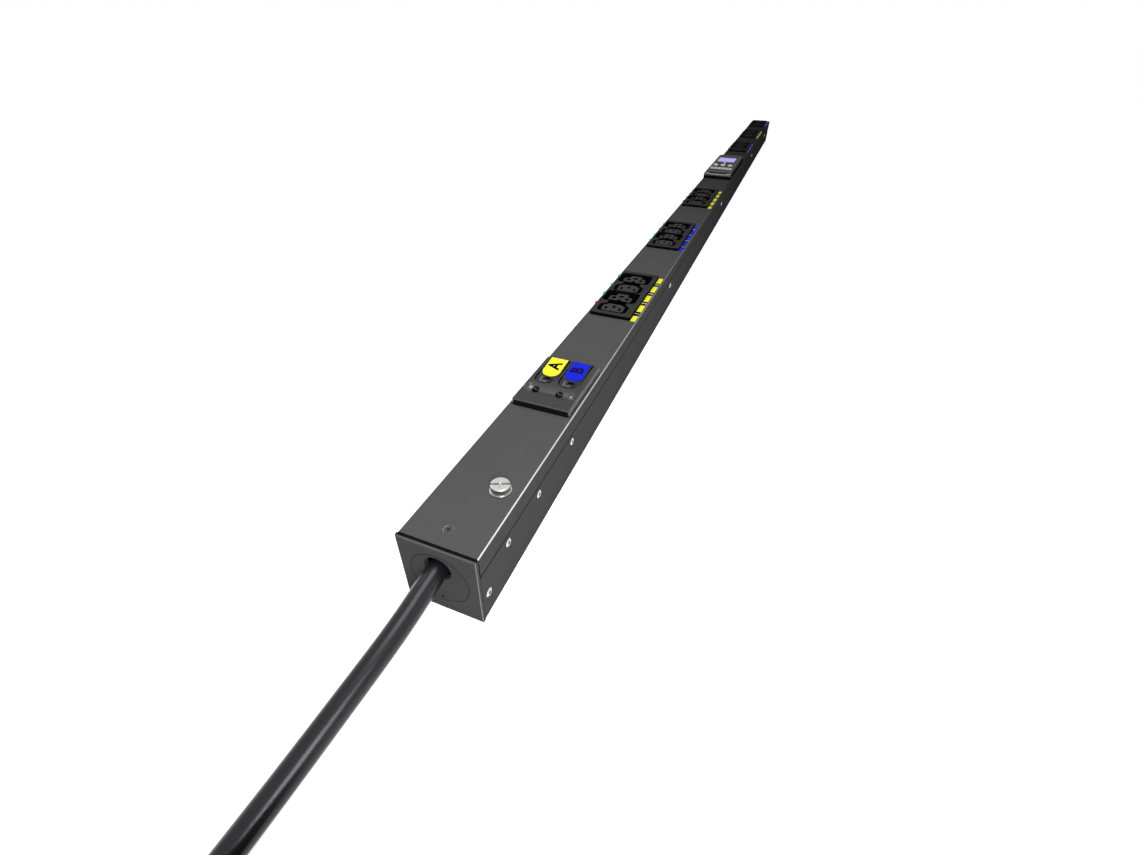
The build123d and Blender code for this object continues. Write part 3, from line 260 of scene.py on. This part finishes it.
def paintOver(tree, shader, mask, colour):  # lays a colour over the shader's own where the mask holds
    mix = tree.nodes.new("ShaderNodeMix")
    mix.data_type = "RGBA"
    tree.links.new(mask, mix.inputs["Factor"])
    tree.links.new(shader.inputs["Base Color"].links[0].from_socket, mix.inputs["A"])
    mix.inputs["B"].default_value = (*colour, 1)
    tree.links.new(mix.outputs["Result"], shader.inputs["Base Color"])


def makeFinish(name):
    colour, rough, metal, specular, coat, grainSize, grainDepth, mottle = finishes[name]
    material, tree, shader, coords = newMaterial(name)
    shader.inputs["Metallic"].default_value = metal
    shader.inputs["Specular IOR Level"].default_value = specular
    shader.inputs["Coat Weight"].default_value = coat
    shader.inputs["Coat Roughness"].default_value = finishSettings["coatRough"]
    tree.links.new(mottled(tree, coords, colour, mottle), shader.inputs["Base Color"])
    addRoughness(tree, shader, coords, rough, finishSettings["roughSpread"])
    addGrain(tree, shader, coords, grainSize, grainDepth)
    return material


made = {}


def finish(name):
    if name not in made:
        made[name] = makeFinish(name)
    return made[name]


# Folds and rounded edges are smoother and shinier than the flats
edgeSettings = {
    "housing_paint": {
        "rough": 0.22,
        "specular": 0.5,
        "from": 0.05,  # how far the surface leans away from every axis where an edge starts
        "to": 0.20,  # and where it is at full strength
        "fadeFrom": 300.0,  # full strength up to here along the housing, gone at fadeTo
        "fadeTo": 800.0,
    },
    "bezel_plastic": {
        "rough": 0.20,
        "specular": 0.8,
        "from": 0.004,
        "to": 0.02,
        "fadeFrom": 2000.0,  # beyond the far end, so these edges don't fade
        "fadeTo": 2100.0,
    },
}


def edgeMask(tree, coords, edges):  # 0 where the surface faces along an axis, 1 on the folds between
    facing = axesOf(tree, coords.outputs["Normal"])
    largest = anyOf(tree, *[mathNode(tree, "ABSOLUTE", axis) for axis in facing])
    return rampNode(tree, largest, 1.0 - edges["from"], 1.0 - edges["to"])


def sharpenEdges(name):
    tree, shader, coords = partsOf(finish(name))
    edges = edgeSettings[name]
    spot = axesOf(tree, coords.outputs["Object"])
    fade = rampNode(tree, spot["Y"], along(edges["fadeFrom"]), along(edges["fadeTo"]), 1.0, 0.0)
    edge = allOf(tree, edgeMask(tree, coords, edges), fade)
    shine = shader.inputs["Specular IOR Level"]
    tree.links.new(rampNode(tree, edge, 0.0, 1.0, shine.default_value, edges["specular"]), shine)
    smooth = tree.nodes.new("ShaderNodeMix")
    tree.links.new(edge, smooth.inputs["Factor"])
    tree.links.new(shader.inputs["Roughness"].links[0].from_socket, smooth.inputs["A"])
    smooth.inputs["B"].default_value = edges["rough"]
    tree.links.new(smooth.outputs["Result"], shader.inputs["Roughness"])


# Housing paint with painted light: painted shade inside the shell and in the seam and end gaps, painted
# shade that grows towards the far end, and painted highlights on the long near folds
housingShadeAndHighlights = {
    "insideX": 25.3,  # the space inside the shell
    "insideLow": 0.6,
    "insideHigh": 53.0,
    # colour of the painted shade inside, in the gaps and towards the far end
    "dark": (0.006, 0.006, 0.006),
    # painted highlight on the shell's folds
    "foldHighlight": (0.80, 0.80, 0.80),
    "foldSideways": 0.25,  # only folds that face sideways by more than this
    "foldFrom": 60.0,  # full strength up to here, gone at foldTo
    "foldTo": 420.0,
    # painted shade in the seam between cover and channel
    "seamLow": 38.55,
    "seamHigh": 39.45,
    "endFacing": 0.7,  # faces that look along the housing, in the gap before each end plate, get painted shade
    "gapStart": 1.2,  # before the steel's end
    "gapEnd": 1.5,  # beyond it
    "capStart": 0.05,  # the end plates start this far beyond the steel
    "capTopFacing": 0.9,  # their upper rims get painted shade up to capTopEnd
    "capTop": 53.2,
    "capTopEnd": 1.3,
    # painted highlight on the end plates' folds
    "capEdgeHighlight": (0.16, 0.16, 0.16),
    "dimFrom": 430.0,  # painted shade for the light falling off along the housing: the paint keeps its own colour up to here, and the painted shade is darkest from dimTo on
    "dimTo": 1150.0,
    "dimLeast": 0.55,
}


def paintHousingShadeAndHighlights():
    zones = housingShadeAndHighlights
    tree, shader, coords = partsOf(finish("housing_paint"))
    spot = axesOf(tree, coords.outputs["Object"])
    facing = axesOf(tree, coords.outputs["Normal"])
    across = mathNode(tree, "ABSOLUTE", spot["X"])
    endways = mathNode(tree, "ABSOLUTE", spot["Y"])
    inside = allOf(tree, below(tree, across, zones["insideX"] * mm), below(tree, endways, steelEnd * mm),
                   above(tree, spot["Z"], zones["insideLow"] * mm),
                   below(tree, spot["Z"], zones["insideHigh"] * mm))
    onCap = above(tree, endways, (steelEnd + zones["capStart"]) * mm)
    onShell = opposite(tree, onCap)
    seam = allOf(tree, onShell, above(tree, spot["Z"], zones["seamLow"] * mm),
                 below(tree, spot["Z"], zones["seamHigh"] * mm))
    gap = allOf(tree, above(tree, mathNode(tree, "ABSOLUTE", facing["Y"]), zones["endFacing"]),
                above(tree, endways, (steelEnd - zones["gapStart"]) * mm),
                below(tree, endways, (steelEnd + zones["gapEnd"]) * mm))
    capTop = allOf(tree, onCap, above(tree, facing["Z"], zones["capTopFacing"]),
                   above(tree, spot["Z"], zones["capTop"] * mm),
                   below(tree, endways, (steelEnd + zones["capTopEnd"]) * mm))
    sideways = above(tree, mathNode(tree, "ABSOLUTE", facing["X"]), zones["foldSideways"])
    fade = rampNode(tree, spot["Y"], along(zones["foldFrom"]), along(zones["foldTo"]), 1.0, 0.0)
    fold = allOf(tree, edgeMask(tree, coords, edgeSettings["housing_paint"]), sideways, fade)
    dimMost = 1.0 - zones["dimLeast"]
    dim = rampNode(tree, spot["Y"], along(zones["dimFrom"]), along(zones["dimTo"]), 0.0, dimMost)
    # Painted shade that grows towards the far end, where less light falls
    paintOver(tree, shader, dim, zones["dark"])
    # Painted highlights on the near folds, light on the shell and dimmer on the end plates
    paintOver(tree, shader, allOf(tree, fold, onShell), zones["foldHighlight"])
    paintOver(tree, shader, allOf(tree, fold, onCap), zones["capEdgeHighlight"])
    # Painted shade inside the shell, in the seam, in the gaps before the end plates and on their upper
    # rims
    paintOver(tree, shader, anyOf(tree, inside, seam, gap, capTop), zones["dark"])


# Painted shade: plastics painted dark on walls that stand upright, and below a height, where less light
# falls
sideShadeSettings = {
    "bezel_plastic": {"upright": 0.30, "below": 10.0, "shadeColour": (0.006, 0.006, 0.006)},
    "outlet_plastic": {"upright": 0.60, "below": 10.0, "shadeColour": (0.005, 0.005, 0.005)},
    "core_plastic": {"upright": 0.60, "below": 52.5, "shadeColour": (0.003, 0.003, 0.003)},
    "display_plastic": {"upright": 0.50, "below": 10.0, "shadeColour": (0.006, 0.006, 0.006)},
}


def paintSideShade(name):
    tree, shader, coords = partsOf(finish(name))
    tones = sideShadeSettings[name]
    spot = axesOf(tree, coords.outputs["Object"])
    facing = axesOf(tree, coords.outputs["Normal"])
    upright = below(tree, facing["Z"], tones["upright"])
    low = below(tree, spot["Z"], tones["below"] * mm)
    # Painted shade on the upright walls and low parts
    paintOver(tree, shader, anyOf(tree, upright, low), tones["shadeColour"])


# Side rivets get painted shade in their holes, dark and dull where the surface doesn't face sideways
rivetSettings = {
    "sideways": 0.2,
    "hole": (0.004, 0.004, 0.004),
}


def paintRivetHoleShade():
    tree, shader, coords = partsOf(finish("zinc_steel"))
    facing = axesOf(tree, coords.outputs["Normal"])
    hole = below(tree, mathNode(tree, "ABSOLUTE", facing["X"]), rivetSettings["sideways"])
    paintOver(tree, shader, hole, rivetSettings["hole"])
    bare = opposite(tree, hole)
    for name in ("Metallic", "Specular IOR Level"):
        socket = shader.inputs[name]
        tree.links.new(mathNode(tree, "MULTIPLY", bare, socket.default_value), socket)


# Supply cord, wound beside the unit
cordSettings = {
    "diameter": 13.0,
    "length": 3.08,  # in metres
    "coilX": 58.5,
    "coilS": -215.0,
    "outer": 78.5,  # outer and inner turn of each layer
    "inner": 65.5,
    "turnPoints": 24,
    "sweep": 2180.0,  # degrees wound, from the point nearest the unit's axis
    "ringChanges": ((300, 60, -1), (870, 70, 1), (1440, 70, -1), (2000, 80, 1)),  # start, spread, way
    "climbs": ((580, 80), (1150, 80), (1720, 80)),  # start and spread of each step to the next layer
    "tailLength": 90.0,
    "tailSteps": ((1 / 3, 0.0, 0.4), (2 / 3, 1.0, 1.0), (1.0, 3.4, 1.0)),  # share, sideways, drop
    "plugRadius": 28.0,
    "roundSteps": 5,
    "bendSteps": 6,
}
cordRoute = [
    (0.0, 34.0, 37.4),
    (0.0, -2.0, 37.4),
    (-0.7, -38.0, 31.5),
    (-6.6, -78.0, 22.4),
    (-13.2, -116.0, 12.2),
    (-17.8, -155.0, 6.9),
    (-19.7, -186.0, 6.5),
]


def ease(t):
    t = min(max(t, 0.0), 1.0)
    return t * t * (3 - 2 * t)


def coilPoint(turned):  # two turns side by side, four layers high
    cord = cordSettings
    radius = cord["outer"]
    for start, spread, way in cord["ringChanges"]:
        radius += way * (cord["outer"] - cord["inner"]) * ease((turned - start) / spread)
    height = cord["diameter"] / 2
    for start, spread in cord["climbs"]:
        height += cord["diameter"] * ease((turned - start) / spread)
    angle = math.radians(180.0 + turned)
    return cord["coilX"] + radius * math.cos(angle), cord["coilS"] + radius * math.sin(angle), height


def cordPoints():
    points = list(cordRoute)
    sweep = cordSettings["sweep"]
    count = round(sweep / 360 * cordSettings["turnPoints"])
    points += [coilPoint(sweep * i / count) for i in range(count + 1)]
    angle = math.radians(180.0 + sweep)
    dx, ds = -math.sin(angle), math.cos(angle)
    x, s, z = points[-1]
    drop = z - cordSettings["plugRadius"]
    run = cordSettings["tailLength"]
    for share, out, down in cordSettings["tailSteps"]:
        points.append((x + dx * run * share + ds * out, s + ds * run * share - dx * out, z - drop * down))
    return points


def addCord():
    print("supply cord")
    data = bpy.data.curves.new("supply_lead", "CURVE")
    data.dimensions = "3D"
    data.bevel_depth = 1.0  # times each point's radius, which also sets how far the curve's box reaches
    data.bevel_resolution = cordSettings["roundSteps"]
    data.resolution_u = cordSettings["bendSteps"]
    data.use_fill_caps = True
    points = cordPoints()
    spline = data.splines.new("NURBS")
    spline.points.add(len(points) - 1)
    for point, (x, s, z) in zip(spline.points, points):
        point.co = (*at(x, s, z), 1.0)
        point.radius = cordSettings["diameter"] / 2 * mm
    spline.order_u = 3
    spline.use_endpoint_u = True
    lead = place(bpy.data.objects.new("supply_lead", data), "housing")
    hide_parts("supply_cord", "supply_cord_coil", "supply_cord_tail")
    data.materials.append(finish("black_rubber"))


# Status lenses, green unless one of these places lies in them
lensSettings = {
    "green": (0.02, 0.55, 0.17),
    "red": (0.62, 0.02, 0.08),
    "dark": (0.03, 0.05, 0.04),
    "redPlaces": (331.9, 601.7, 792.2),
    "darkPlaces": (765.8,),
    "darkFrom": 1200.0,  # the far group's lenses are unlit
    "reach": 6.0,
    "mottle": 0.10,
    "glow": 0.25,
    "coat": 0.3,
    "rough": 0.25,
    "roughSpread": 0.05,
}


def makeLensMaterial():
    lens = lensSettings
    material, tree, shader, coords = newMaterial("lens_plastic")
    tree.links.new(mottled(tree, coords, lens["green"], lens["mottle"]), shader.inputs["Base Color"])
    spot = axesOf(tree, coords.outputs["Object"])
    for places, colour in ((lens["redPlaces"], lens["red"]), (lens["darkPlaces"], lens["dark"])):
        near = [mathNode(tree, "COMPARE", spot["Y"], along(s), lens["reach"] * mm) for s in places]
        paintOver(tree, shader, anyOf(tree, *near), colour)
    paintOver(tree, shader, above(tree, spot["Y"], along(lens["darkFrom"])), lens["dark"])
    tree.links.new(shader.inputs["Base Color"].links[0].from_socket, shader.inputs["Emission Color"])
    shader.inputs["Emission Strength"].default_value = lens["glow"]
    shader.inputs["Coat Weight"].default_value = lens["coat"]
    addRoughness(tree, shader, coords, lens["rough"], lens["roughSpread"])
    return material


# Lit screen and the clear window over it
screenSettings = {
    "base": (0.05, 0.05, 0.12),
    "light": (0.17, 0.17, 0.78),
    "streak": 0.25,
    "glow": 0.85,
    "rough": 0.4,
    "roughSpread": 0.05,
}
windowSettings = {
    "colour": (0.85, 0.86, 0.95),
    "mottle": 0.02,
    "bending": 1.3,
    "rough": 0.10,
    "roughSpread": 0.04,
}


def makeScreen():
    screen = screenSettings
    material, tree, shader, coords = newMaterial("screen_panel")
    shader.inputs["Base Color"].default_value = (*screen["base"], 1)
    light = mottled(tree, coords, screen["light"], screen["streak"])
    tree.links.new(light, shader.inputs["Emission Color"])
    shader.inputs["Emission Strength"].default_value = screen["glow"]
    addRoughness(tree, shader, coords, screen["rough"], screen["roughSpread"])
    return material


def makeWindow():
    window = windowSettings
    material, tree, shader, coords = newMaterial("screen_lens")
    tree.links.new(mottled(tree, coords, window["colour"], window["mottle"]), shader.inputs["Base Color"])
    shader.inputs["Transmission Weight"].default_value = 1.0
    shader.inputs["IOR"].default_value = window["bending"]
    addRoughness(tree, shader, coords, window["rough"], window["roughSpread"])
    return material


# Which finish each node wears
modules = range(1, 7)
nodeFinishes = {
    "housing_paint": ["rear_channel", "front_cover", "cord_end_cap", "far_end_cap"],
    "disc_plastic": ["cord_entry_disc"],
    "gland_rubber_in_shade": ["cord_gland"],
    "black_nylon": ["plug_body", "cable_clamp", "terminal_block"],
    "blade_brass": ["plug_blades"],
    "bezel_plastic": ["breaker_bezel"],
    "rocker_plastic": ["breaker_rocker_a", "breaker_rocker_b"],
    "case_plastic": ["breaker_case_a", "breaker_case_b"],
    "yellow_print": ["circuit_badge_a", "yellow_outlet_labels"],
    "blue_print": ["circuit_badge_b", "blue_outlet_labels"],
    "outlet_plastic": [f"outlet_housing_{i}" for i in modules],
    "core_plastic": [f"outlet_core_{i}" for i in modules],
    "brass_contact": ["line_contacts", "neutral_contacts", "earth_contacts"],
    "copper_bar": ["feed_busbars"],
    "board_green": ["outlet_boards", "display_board"],
    "relay_plastic": ["outlet_relays"],
    "carrier_plastic": ["board_carriers"],
    "liner_film": ["insulation_liner"],
    "display_plastic": ["display_housing"],
    "face_film": ["display_face"],
    "light_plastic": ["display_light"],
    "key_plastic": ["button_up", "button_select", "button_down"],
    "port_metal": ["display_ports"],
    "zinc_steel": ["side_rivets"],
    "plated_steel": ["earth_screw", "earth_nut", "mounting_nuts"],
    "black_steel": ["cover_screws"],
    "wire_insulation": ["internal_wires"],
}


def wear(node, material):
    slots = nodes[node].data.materials
    for i in range(len(slots)):
        slots[i] = material


def dressNodes():
    print("finishes")
    paintHousingShadeAndHighlights()
    for name in sideShadeSettings:
        paintSideShade(name)
    paintRivetHoleShade()
    for name in edgeSettings:
        sharpenEdges(name)
    for name, wearers in nodeFinishes.items():
        for node in wearers:
            wear(node, finish(name))
    wear("status_lenses", makeLensMaterial())
    wear("screen_lens", makeWindow())
    wear("screen_panel", makeScreen())


# Flat marks
letterSettings = {
    "curveSteps": 3,
    "weld": 0.001,  # points nearer than this are joined
}


def addBar(shape, x0, x1, s0, s1, z0, z1):
    size = Vector(((x1 - x0) * mm, (s1 - s0) * mm, (z1 - z0) * mm))
    middle = at((x0 + x1) / 2, (s0 + s1) / 2, (z0 + z1) / 2)
    turn = Matrix.Translation(middle) @ Matrix.Diagonal((*size, 1))
    return bmesh.ops.create_cube(shape, size=1.0, matrix=turn)["verts"]


def letterShape(text, size, weight, thick):  # letters as a thin solid in mm, centred on the origin
    curve = bpy.data.curves.new("letters", "FONT")
    curve.body = text
    curve.size = size
    curve.offset = weight
    curve.extrude = thick / 2
    curve.resolution_u = letterSettings["curveSteps"]
    curve.align_x = "CENTER"
    curve.align_y = "CENTER"
    carrier = bpy.data.objects.new("letters", curve)
    data = bpy.data.meshes.new_from_object(carrier)
    shape = bmesh.new()
    shape.from_mesh(data)
    bmesh.ops.remove_doubles(shape, verts=shape.verts, dist=letterSettings["weld"])
    bpy.data.objects.remove(carrier)
    bpy.data.meshes.remove(data)
    bpy.data.curves.remove(curve)
    return shape


def layLetters(shape, x, s, height):  # reads towards the far end, tops to the left
    for vertex in shape.verts:
        u, v, w = vertex.co
        vertex.co = at(x - v, s + u, height(s + u) + w)


# Circuit letters, switch bars and a painted highlight along the thumb pad's edges, on the rockers
rockerSettings = {
    "centres": (-10.2, 9.6),
    "start": 164.4,
    "length": 38.0,
    "farHeight": 60.8,
    "fall": 2.6,
    "badge": 0.4,
    "pad": 0.5,
    "letterPlace": 190.6,
    "letterSize": 14.2,
    "letterWeight": 0.55,
    "thick": 0.04,
    "letterColours": ("black_print_and_shade", "indigo_print"),
    "bar": (-1.4, 4.2, 171.0, 173.8),  # left, right, near, far
    # painted highlight in an L along the thumb pad's lit edges: left, right, near, far
    "line": (-4.2, 2.0, 167.6, 174.0),
    "lineWidth": 0.7,
}


def rockerHeight(s):
    rocker = rockerSettings
    return rocker["farHeight"] - rocker["fall"] * (1 - (s - rocker["start"]) / rocker["length"])


def addPadBar(shape, x0, x1, s0, s1):  # a thin bar that follows the sloping thumb pad
    for vertex in addBar(shape, x0, x1, s0, s1, 0.0, rockerSettings["thick"]):
        s = vertex.co.y / mm + steelEnd
        vertex.co.z += (rockerHeight(s) + rockerSettings["pad"]) * mm


def addRockerMarks():
    print("rocker marks")
    rocker = rockerSettings
    thick = rocker["thick"]
    lift = rocker["badge"] + thick / 2
    for letter, x, ink in zip("AB", rocker["centres"], rocker["letterColours"]):
        body = "breaker_switch_" + letter.lower()
        shape = letterShape(letter, rocker["letterSize"], rocker["letterWeight"], thick)
        layLetters(shape, x, rocker["letterPlace"], lambda s: rockerHeight(s) + lift)
        meshPiece("circuit_letter_" + letter.lower(), shape, body, finish(ink))
        x0, x1, s0, s1 = rocker["bar"]
        shape = bmesh.new()
        addPadBar(shape, x + x0, x + x1, s0, s1)
        meshPiece("switch_bar_" + letter.lower(), shape, body, finish("black_print_and_shade"))
        # Painted highlight where the thumb pad's raised edges catch the light
        x0, x1, s0, s1 = rocker["line"]
        w = rocker["lineWidth"]
        shape = bmesh.new()
        addPadBar(shape, x + x0, x + x0 + w, s0 + w, s1)
        addPadBar(shape, x + x0, x + x1, s0, s0 + w)
        meshPiece("switch_pad_highlight_" + letter.lower(), shape, body, finish("grey_print_and_highlight"))


# Number fields on the outlet strips
stripSettings = {
    "starts": (305.7, 522.7, 739.7, 1258.3, 1475.3, 1692.3),
    "left": 19.5,
    "width": 4.9,
    "height": 54.35,
    "digits": "1234",
    "firstField": 17.5,
    "pitch": 26.4,
    "fieldLength": 9.9,
    "thick": 0.05,
    "digitSize": 6.4,
    "digitWeight": 0.18,
}


def addNumberFields():
    print("number fields")
    strip = stripSettings
    thick = strip["thick"]
    half = strip["fieldLength"] / 2
    left, right = strip["left"], strip["left"] + strip["width"]
    low = strip["height"]
    fields = bmesh.new()
    digits = bmesh.new()
    for start in strip["starts"]:
        for k, text in enumerate(strip["digits"]):
            s = start + strip["firstField"] + strip["pitch"] * k
            addBar(fields, left, right, s - half, s + half, low, low + thick)
            digit = letterShape(text, strip["digitSize"], strip["digitWeight"], thick)
            layLetters(digit, (left + right) / 2, s, lambda s: low + thick * 1.5)
            flat = bpy.data.meshes.new("digit")
            digit.to_mesh(flat)
            digits.from_mesh(flat)
            digit.free()
            bpy.data.meshes.remove(flat)
    meshPiece("number_fields", fields, "housing", finish("black_print_and_shade"))
    meshPiece("outlet_numbers", digits, "housing", finish("white_print"))


# Line printed round the display's face
borderSettings = {
    "left": -21.2,
    "right": 21.2,
    "near": 967.4,
    "far": 1139.6,
    "height": 65.2,
    "width": 0.9,
    "thick": 0.05,
}


def addDisplayBorder():
    print("display border")
    line = borderSettings
    x0, x1, s0, s1 = line["left"], line["right"], line["near"], line["far"]
    w = line["width"]
    z0 = line["height"]
    z1 = z0 + line["thick"]
    shape = bmesh.new()
    addBar(shape, x0, x0 + w, s0 + w, s1 - w, z0, z1)
    addBar(shape, x1 - w, x1, s0 + w, s1 - w, z0, z1)
    addBar(shape, x0, x1, s0, s0 + w, z0, z1)
    addBar(shape, x0, x1, s1 - w, s1, z0, z1)
    meshPiece("display_border", shape, "housing", finish("grey_print_and_highlight"))


# Painted shade in the gap round the entry disc and in its index hole, on the end plate
discGapShade = {
    "radius": 19.38,
    "width": 0.32,
    "height": 28.5,
    "face": -2.5,
    "thick": 0.03,
    "segments": 64,
    "markHeight": 12.2,
    "markInner": 0.05,
    "markOuter": 0.8,
    "markSegments": 16,
}


def addRing(shape, z, inner, outer, segments):  # a flat ring on the end plate's outer face
    spot = Matrix.Translation(at(0.0, discGapShade["face"] - discGapShade["thick"], z))
    turn = Matrix.Rotation(math.pi / 2, 4, "X")
    edges = []
    for radius in (inner, outer):
        circle = bmesh.ops.create_circle(shape, cap_ends=False, segments=segments, radius=radius * mm,
                                         matrix=spot @ turn)
        edges += list({edge for vertex in circle["verts"] for edge in vertex.link_edges})
    bmesh.ops.bridge_loops(shape, edges=edges)


def addDiscGapShade():
    print("disc joint")
    joint = discGapShade
    half = joint["width"] / 2
    shape = bmesh.new()
    # painted shade in the gap round the disc, and in the index hole
    addRing(shape, joint["height"], joint["radius"] - half, joint["radius"] + half, joint["segments"])
    addRing(shape, joint["markHeight"], joint["markInner"], joint["markOuter"], joint["markSegments"])
    meshPiece("disc_gap_shade", shape, "housing", finish("black_print_and_shade"))


# Painted highlight along the rounded lip under the display's face, and painted shade in the groove behind
# it
lipSettings = {
    "half": 23.4,
    "edge": 957.6,
    "dip": 1.8,
    "height": 64.6,
    "bevelTop": 959.0,
    "width": 1.2,
    "grooveWidth": 1.6,
    "lift": 0.06,
    "steps": 24,
}


def lipPoint(x, back):  # a line that dips towards the near end in the middle, on the bevel or the face
    lip = lipSettings
    share = x / lip["half"]
    s = lip["edge"] - lip["dip"] * (1 - share ** 4) + back
    drop = max(lip["bevelTop"] - s, 0.0)
    return at(x, s, lip["height"] - drop + lip["lift"])


def addLipStrip(name, start, width, ink):
    shape = bmesh.new()
    bmesh.ops.create_grid(shape, x_segments=lipSettings["steps"], y_segments=1, size=1.0)
    for vertex in shape.verts:
        u, v, _ = vertex.co
        vertex.co = lipPoint(lipSettings["half"] * u, start + width * (v + 1) / 2)
    meshPiece(name, shape, "housing", finish(ink))


def addLip():
    print("display lip")
    # Painted highlight on the lip, then painted shade in the groove behind it
    addLipStrip("display_lip_highlight", 0.0, lipSettings["width"], "pale_highlight")
    addLipStrip("display_groove_shade", lipSettings["width"], lipSettings["grooveWidth"], "black_print_and_shade")


# Room: white floor and sky, and four lamps
roomSettings = {
    "floorSize": 40.0,  # in metres, from the middle to each side
    "floorColour": (0.80, 0.80, 0.80),
    "floorMottle": 0.01,
    "floorRough": 0.9,
    "floorGlow": 0.85,
    "skyLight": 0.20,
}
# place, aim and size of each lamp in metres, and its power
lamps = {
    "key": ((0.10, along(120), 0.95), (0.0, along(120), 0.0), (0.6, 0.6), 5.5),
    "front": ((0.35, along(-420), 0.45), (0.0, along(0), 0.03), (0.3, 0.3), 3.2),
    "side": ((-0.95, along(680), 0.90), (0.0, along(155), 0.05), (0.3, 0.3), 3.5),
    "rim": ((2.0, along(1500), 0.9), (0.0, along(1500), 0.05), (3.0, 0.2), 4.0),
}


def sightMask(tree):  # 1 for the rays that show the background, 0 for those that light the object
    rays = tree.nodes.new("ShaderNodeLightPath").outputs
    return anyOf(tree, rays["Is Camera Ray"], rays["Is Glossy Ray"], rays["Is Transmission Ray"])


def addFloor():
    print("floor")
    room = roomSettings
    shape = bmesh.new()
    bmesh.ops.create_grid(shape, x_segments=2, y_segments=2, size=room["floorSize"])
    data = bpy.data.meshes.new("floor")
    shape.to_mesh(data)
    shape.free()
    floor = place(bpy.data.objects.new("floor", data), None)
    material, tree, shader, coords = newMaterial("floor_white")
    colour = mottled(tree, coords, room["floorColour"], room["floorMottle"])
    tree.links.new(colour, shader.inputs["Base Color"])
    shader.inputs["Roughness"].default_value = room["floorRough"]
    shader.inputs["Specular IOR Level"].default_value = 0.0
    shader.inputs["Emission Color"].default_value = (1, 1, 1, 1)
    glow = mathNode(tree, "MULTIPLY", sightMask(tree), room["floorGlow"])
    tree.links.new(glow, shader.inputs["Emission Strength"])
    data.materials.append(material)


def addSky():
    print("sky")
    world = bpy.data.worlds.new("studio")
    world.use_nodes = True
    tree = world.node_tree
    background = tree.nodes["Background"]
    background.inputs["Color"].default_value = (1, 1, 1, 1)
    level = rampNode(tree, sightMask(tree), 0.0, 1.0, roomSettings["skyLight"], 1.0)
    tree.links.new(level, background.inputs["Strength"])
    bpy.context.scene.world = world


def addLamps():
    print("lamps")
    for name, (spot, aim, size, power) in lamps.items():
        data = bpy.data.lights.new(name, "AREA")
        data.shape = "RECTANGLE"
        data.size, data.size_y = size
        data.energy = power
        light = bpy.data.objects.new(name, data)
        turn = (Vector(aim) - Vector(spot)).to_track_quat("-Z", "Y").to_matrix().to_4x4()
        light.matrix_world = Matrix.Translation(spot) @ turn
        bpy.context.scene.collection.objects.link(light)


addCamera()
addCord()
dressNodes()
addRockerMarks()
addNumberFields()
addDisplayBorder()
addDiscGapShade()
addLip()
addFloor()
addSky()
addLamps()
bpy.context.scene.view_settings.view_transform = "Standard"
